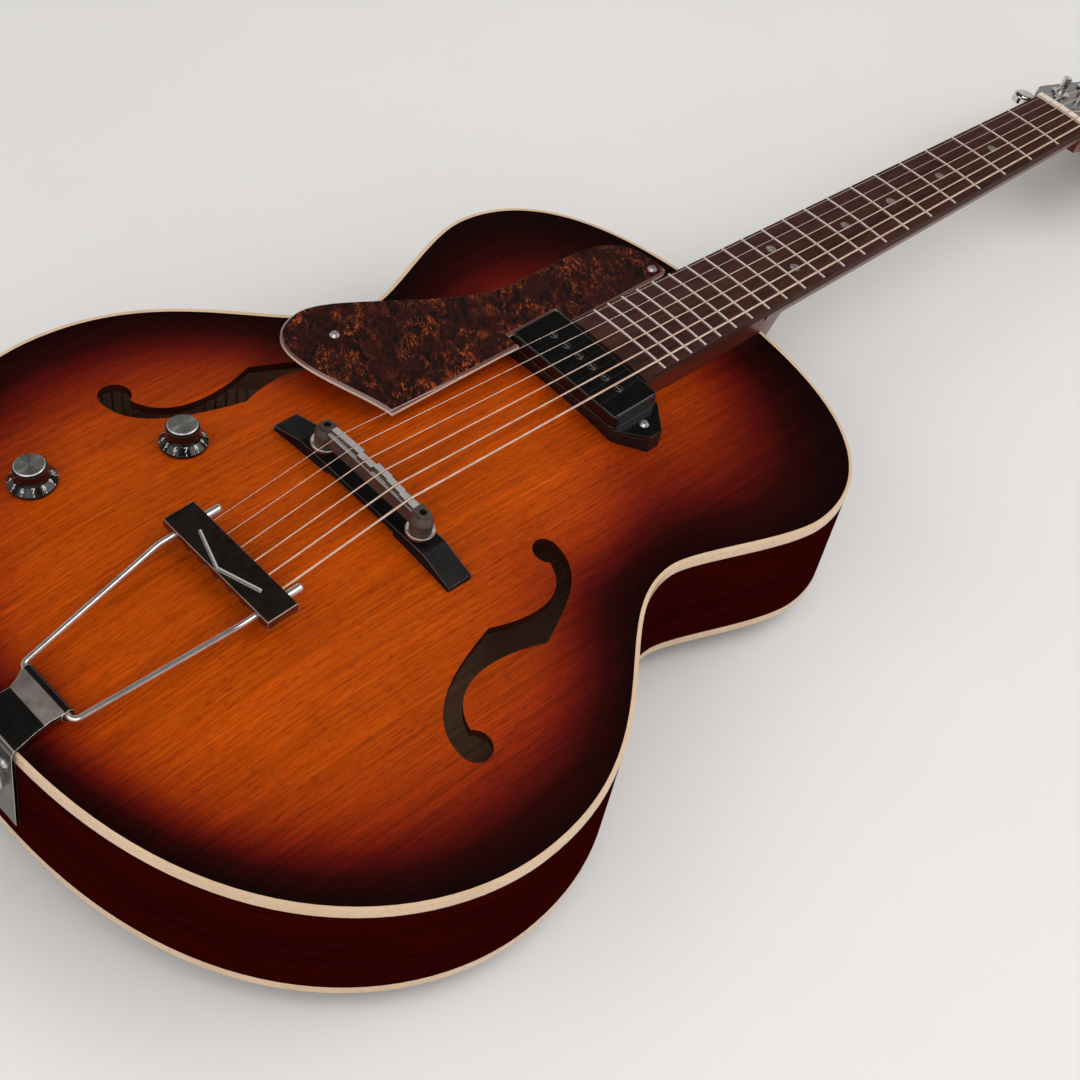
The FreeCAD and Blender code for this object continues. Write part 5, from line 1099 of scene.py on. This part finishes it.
@dataclass
class Strings:
    """Four wound strings and two plain ones, parted at the saddle line."""

    def build(self) -> None:
        """Dress the strings and part each set at the saddle."""
        nut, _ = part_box("nut")
        _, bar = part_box("tailpiece_crossbar")
        for finish, name in ((BRONZE, "wound_strings"), (PLAIN_STEEL, "plain_strings")):
            dress(finish, name)
            self.length(finish, name, name + "_speaking", nut.y)
            self.length(finish, name, name + "_behind", bar.y)

    def length(self, finish: Finish, source: str, name: str, anchor: float) -> None:
        """Build the strings of a set from the saddle to the end that stays still.

        Args:
            finish: Their finish.
            source: The CAD node of the set.
            name: The new piece's name.
            anchor: Where along the guitar the still end begins.
        """
        shape = bmesh.new()
        shape.from_mesh(node(source).data)
        shape.transform(node(source).matrix_world)
        everything = [*shape.verts, *shape.edges, *shape.faces]
        forward = 1.0 if anchor > SADDLE_LINE else -1.0
        bmesh.ops.bisect_plane(shape, geom=everything, plane_co=(0.0, SADDLE_LINE, 0.0),
                               plane_no=(0.0, forward, 0.0), clear_inner=True)
        made = piece(name, shape, finish, None, finish.label)
        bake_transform(made)
        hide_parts(source)


@dataclass
class Pickup:
    """A single-coil pickup in its cover on a spacer."""

    def build(self) -> None:
        """Dress the pickup."""
        dress(GLOSS_BLACK, "pickup_cover")
        dress(MATT_BLACK, "pickup_spacer")
        dress(TAPE, "pickup_coil")
        dress(MAGNET, "pickup_magnets")
        dress(BRASS, "pickup_baseplate")
        dress(POLE_STEEL, "pole_screws")


@dataclass
class Pickguard:
    """The floating pickguard on its two blocks."""

    rise: float = 0.004
    run: float = 0.214

    def build(self) -> None:
        """Dress the pickguard."""
        slope = math.atan2(self.rise, self.run)
        up = (0.0, math.sin(slope), math.cos(slope))
        dress(Tortoise("tortoise", up), "pickguard")
        dress(MATT_BLACK, "pickguard_standoffs")


@dataclass
class Bridge:
    """Base, studs, thumbwheels and saddle."""

    def build(self) -> None:
        """Dress the bridge."""
        dress(EBONY, "bridge_base")
        dress(STUD_STEEL, "bridge_studs")
        dress(KNURLED_WHEEL, "thumbwheel_bass", "thumbwheel_treble")
        dress(GUNMETAL, "saddle")


@dataclass
class Tailpiece:
    """Crossbar, bent rod, cap nuts, bracket and end pin."""

    tilt: float = math.radians(3.4)
    bar_top: float = 0.1209
    ridge_height: float = 0.0008
    ridge_share: float = 0.6
    vee_back: float = 0.0079

    def build(self) -> None:
        """Dress the tailpiece."""
        low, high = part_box("tailpiece_crossbar")
        plane = Vector((0.0, -math.sin(self.tilt), math.cos(self.tilt)))
        middle = Vector((0.0, (low.y + high.y) / 2, self.bar_top))
        level = middle.dot(plane) + self.ridge_height * self.ridge_share
        # The crossbar is chrome painted dark as a painted reflection, with painted highlights on its V and
        # along its edges.
        bar = RidgedMetal("black_nickel", ink(150, 128, 120), ink(104, 88, 82), rough=0.10, rubbed=0.8,
                          plane=tuple(plane), level=level, vee_point=middle.y - self.vee_back)
        dress(bar, "tailpiece_crossbar")
        dress(ROD_CHROME, "tailpiece_rod", "tailpiece_nuts")
        dress(BRACKET_CHROME, "tailpiece_bracket")
        dress(KNURLED_PIN, "end_pin_jack")


@dataclass
class Knob:
    """One turned knob with printed numbers on its skirt."""

    name: str
    numbers: int = 11
    sweep: float = math.radians(300)
    skirt_low: float = 0.0131
    skirt_high: float = 0.0097
    low_height: float = 0.0024
    high_height: float = 0.0056
    digit_size: float = 0.0040
    digit_share: float = 0.24
    digit_steps: int = 3
    tick_width: float = 0.00035
    tick_length: float = 0.0011
    tick_share: float = 0.02
    lift: float = 0.00006

    def stand(self) -> Matrix:
        """Find the knob's own frame from the joint that turns it.

        Returns:
            The frame, with Z along the joint.
        """
        joint = next(item for item in frame["joints"] if item["name"] == self.name + "_turn")
        axis = Vector(joint["axis"]).normalized()
        turn = Vector(UP).rotation_difference(axis).to_matrix().to_4x4()
        return Matrix.Translation(Vector(joint["pos_m"])) @ turn

    def skirt(self, angle: float, share: float) -> Matrix:
        """Find a place on the sloping skirt.

        Args:
            angle: How far round the knob it lies.
            share: How far up the slope it lies, from 0 to 1.

        Returns:
            A frame with Y up the slope and Z out of it.
        """
        radius = self.skirt_low + (self.skirt_high - self.skirt_low) * share
        height = self.low_height + (self.high_height - self.low_height) * share
        slope = math.atan2(self.high_height - self.low_height, self.skirt_low - self.skirt_high)
        return (Matrix.Rotation(angle, 4, "Z") @ Matrix.Translation((0, -radius, height))
                @ Matrix.Rotation(slope, 4, "X") @ Matrix.Translation((0, 0, self.lift)))

    def digits(self, shape: bmesh.types.BMesh, text: str, where: Matrix) -> None:
        """Add a printed number.

        Args:
            shape: The mesh to add it to.
            text: The number.
            where: Its place.
        """
        curve = bpy.data.curves.new("digits", "FONT")
        curve.body = text
        curve.size = self.digit_size
        curve.align_x = "CENTER"
        curve.align_y = "BOTTOM"
        curve.resolution_u = self.digit_steps
        holder = bpy.data.objects.new("digits", curve)
        mesh = bpy.data.meshes.new_from_object(holder)
        mesh.transform(where)
        shape.from_mesh(mesh)
        bpy.data.objects.remove(holder)
        bpy.data.curves.remove(curve)
        bpy.data.meshes.remove(mesh)

    def tick(self, shape: bmesh.types.BMesh, where: Matrix) -> None:
        """Add a short printed line.

        Args:
            shape: The mesh to add it to.
            where: Its place.
        """
        half = self.tick_width / 2
        corners = ((-half, 0), (half, 0), (half, self.tick_length), (-half, self.tick_length))
        shape.faces.new([shape.verts.new(where @ Vector((x, y, 0))) for x, y in corners])

    def build(self) -> None:
        """Dress the knob and print its skirt."""
        dress(GLOSS_BLACK, self.name + "_knob")
        dress(SPUN, self.name + "_knob_cap")
        dress(CHROME, self.name + "_shaft")
        stand = self.stand()
        shape = bmesh.new()
        for number in range(self.numbers):
            angle = self.sweep * (number / (self.numbers - 1) - 0.5)
            self.digits(shape, str(number), stand @ self.skirt(angle, self.digit_share))
            self.tick(shape, stand @ self.skirt(angle, self.tick_share))
        piece(self.name + "_numbers", shape, WHITE_PRINT, self.name + "_control")


@dataclass
class Controls:
    """Two knobs with their potentiometers and leads."""

    names: Sequence[str] = ("volume", "tone")

    def build(self) -> None:
        """Dress and print the controls."""
        for name in self.names:
            Knob(name).build()
        dress(CHROME, "potentiometers")
        dress(JACKET, "wiring")


@dataclass(frozen=True)
class Lamp:
    """One soft lamp, aimed at the guitar."""

    name: str
    place: Point
    aim: Point
    width: float
    power: float
    height_share: float = 0.7
    tint: Colour = (1.0, 0.97, 0.94)

    def light(self) -> None:
        """Put the lamp in the scene."""
        data = bpy.data.lights.new(self.name, "AREA")
        data.shape = "RECTANGLE"
        data.size = self.width
        data.size_y = self.width * self.height_share
        data.energy = self.power
        data.color = self.tint
        made = bpy.data.objects.new(self.name, data)
        made.location = self.place
        made.rotation_mode = "QUATERNION"
        made.rotation_quaternion = (Vector(self.aim) - Vector(self.place)).to_track_quat("-Z", "Y")
        bpy.context.scene.collection.objects.link(made)


@dataclass(frozen=True)
class FloorPaint(Finish):
    """A plain pale floor."""

    light: Colour = (0.80, 0.79, 0.78)
    shade: Colour = (0.76, 0.75, 0.74)
    cloud_waves: Waves = (1.5, 1.5, 1.5)
    grit_waves: Waves = (600.0, 600.0, 600.0)
    grit_depth: float = 0.0001

    def inputs(self, board: Board) -> dict[str, Value]:
        """Work out the inputs of the surface shader.

        Args:
            board: The node tree to add nodes to.

        Returns:
            Values and wires by the names of their sockets.
        """
        cloud = board.noise(self.cloud_waves, 4.0)
        return {
            "Base Color": board.ramp(cloud, [(0.3, self.shade), (0.7, self.light)]),
            "Roughness": board.span(cloud, 0.2, 0.8, 0.75, 0.9),
            "Normal": board.relief(board.noise(self.grit_waves), self.grit_depth),
        }


@dataclass
class Studio:
    """Floor, light, backdrop and camera."""

    floor_half: float = 12.0
    floor_squares: int = 8
    fill: Colour = (0.52, 0.52, 0.52)
    backdrop: Colour = (0.72, 0.71, 0.70)
    upper_wall: Colour = (0.22, 0.22, 0.22)
    ceiling: Colour = (0.05, 0.05, 0.05)
    ceiling_height: float = 0.6
    lens: float = 66.3208
    sensor: float = 36.0
    nearest: float = 0.01
    place: Point = (0.480648, -0.784053, 0.870889)
    turn: tuple[float, float, float, float] = (0.8479437, 0.3512687, 0.0714057, 0.3905162)
    lamps: Sequence[Lamp] = (
        Lamp("key", (1.0, 0.8, 2.0), (0.0, -0.2, 0.1), 2.2, 26.0),
        Lamp("side", (-0.5, -2.2, 1.8), (0.0, -0.2, 0.1), 2.0, 13.0),
        Lamp("front", (1.3, -1.7, 1.4), (0.0, -0.3, 0.05), 2.0, 15.0),
    )

    def build(self) -> None:
        """Set up the studio."""
        self.floor()
        self.sky()
        for lamp in self.lamps:
            lamp.light()
        self.camera()
        bpy.context.scene.view_settings.view_transform = "Standard"

    def floor(self) -> None:
        """Lay the floor."""
        shape = bmesh.new()
        bmesh.ops.create_grid(shape, x_segments=self.floor_squares, y_segments=self.floor_squares,
                              size=self.floor_half)
        data = bpy.data.meshes.new("floor")
        shape.to_mesh(data)
        shape.free()
        data.materials.append(FloorPaint("floor_paint").material())
        made = bpy.data.objects.new("floor", data)
        bpy.context.scene.collection.objects.link(made)

    def sky(self) -> None:
        """Make the room: an even fill of light, and a pale backdrop under a dim ceiling to see and mirror."""
        world = bpy.data.worlds.new("room")
        world.use_nodes = True
        bpy.context.scene.world = world
        board = Board(world.node_tree)
        _, _, height = board.split(board.tap("ShaderNodeTexCoord", "Generated"))
        stops = [(0.0, self.backdrop), (0.35, self.upper_wall), (1.0, self.ceiling)]
        room = board.ramp(board.span(height, 0.0, self.ceiling_height), stops)
        camera, glossy, through = (board.tap("ShaderNodeLightPath", "Is %s Ray" % ray)
                                   for ray in ("Camera", "Glossy", "Transmission"))
        seen = board.math("MAXIMUM", board.math("MAXIMUM", camera, glossy), through)
        colour = board.blend(self.fill, room, seen)
        shine = board.tap("ShaderNodeBackground", "Background", inputs={"Color": colour, "Strength": 1.0})
        board.node("ShaderNodeOutputWorld", inputs={"Surface": shine})

    def camera(self) -> None:
        """Stand the camera where the photograph was taken."""
        data = bpy.data.cameras.new("camera")
        data.sensor_width = self.sensor
        data.lens = self.lens
        data.clip_start = self.nearest
        made = bpy.data.objects.new("camera", data)
        made.location = self.place
        made.rotation_mode = "QUATERNION"
        made.rotation_quaternion = Quaternion(self.turn)
        bpy.context.scene.collection.objects.link(made)
        bpy.context.scene.camera = made


def main() -> None:
    """Build every sub-assembly in order, then the studio."""
    logging.basicConfig(level=logging.INFO, format="%(message)s")
    parts = (BodyBox(), Neck(), Tuners(), Strings(), Pickup(), Pickguard(), Bridge(), Tailpiece(), Controls())
    for part in parts:
        part.build()
        LOG.info("%s done", type(part).__name__)
    Studio().build()


if __name__ == "__main__":
    main()
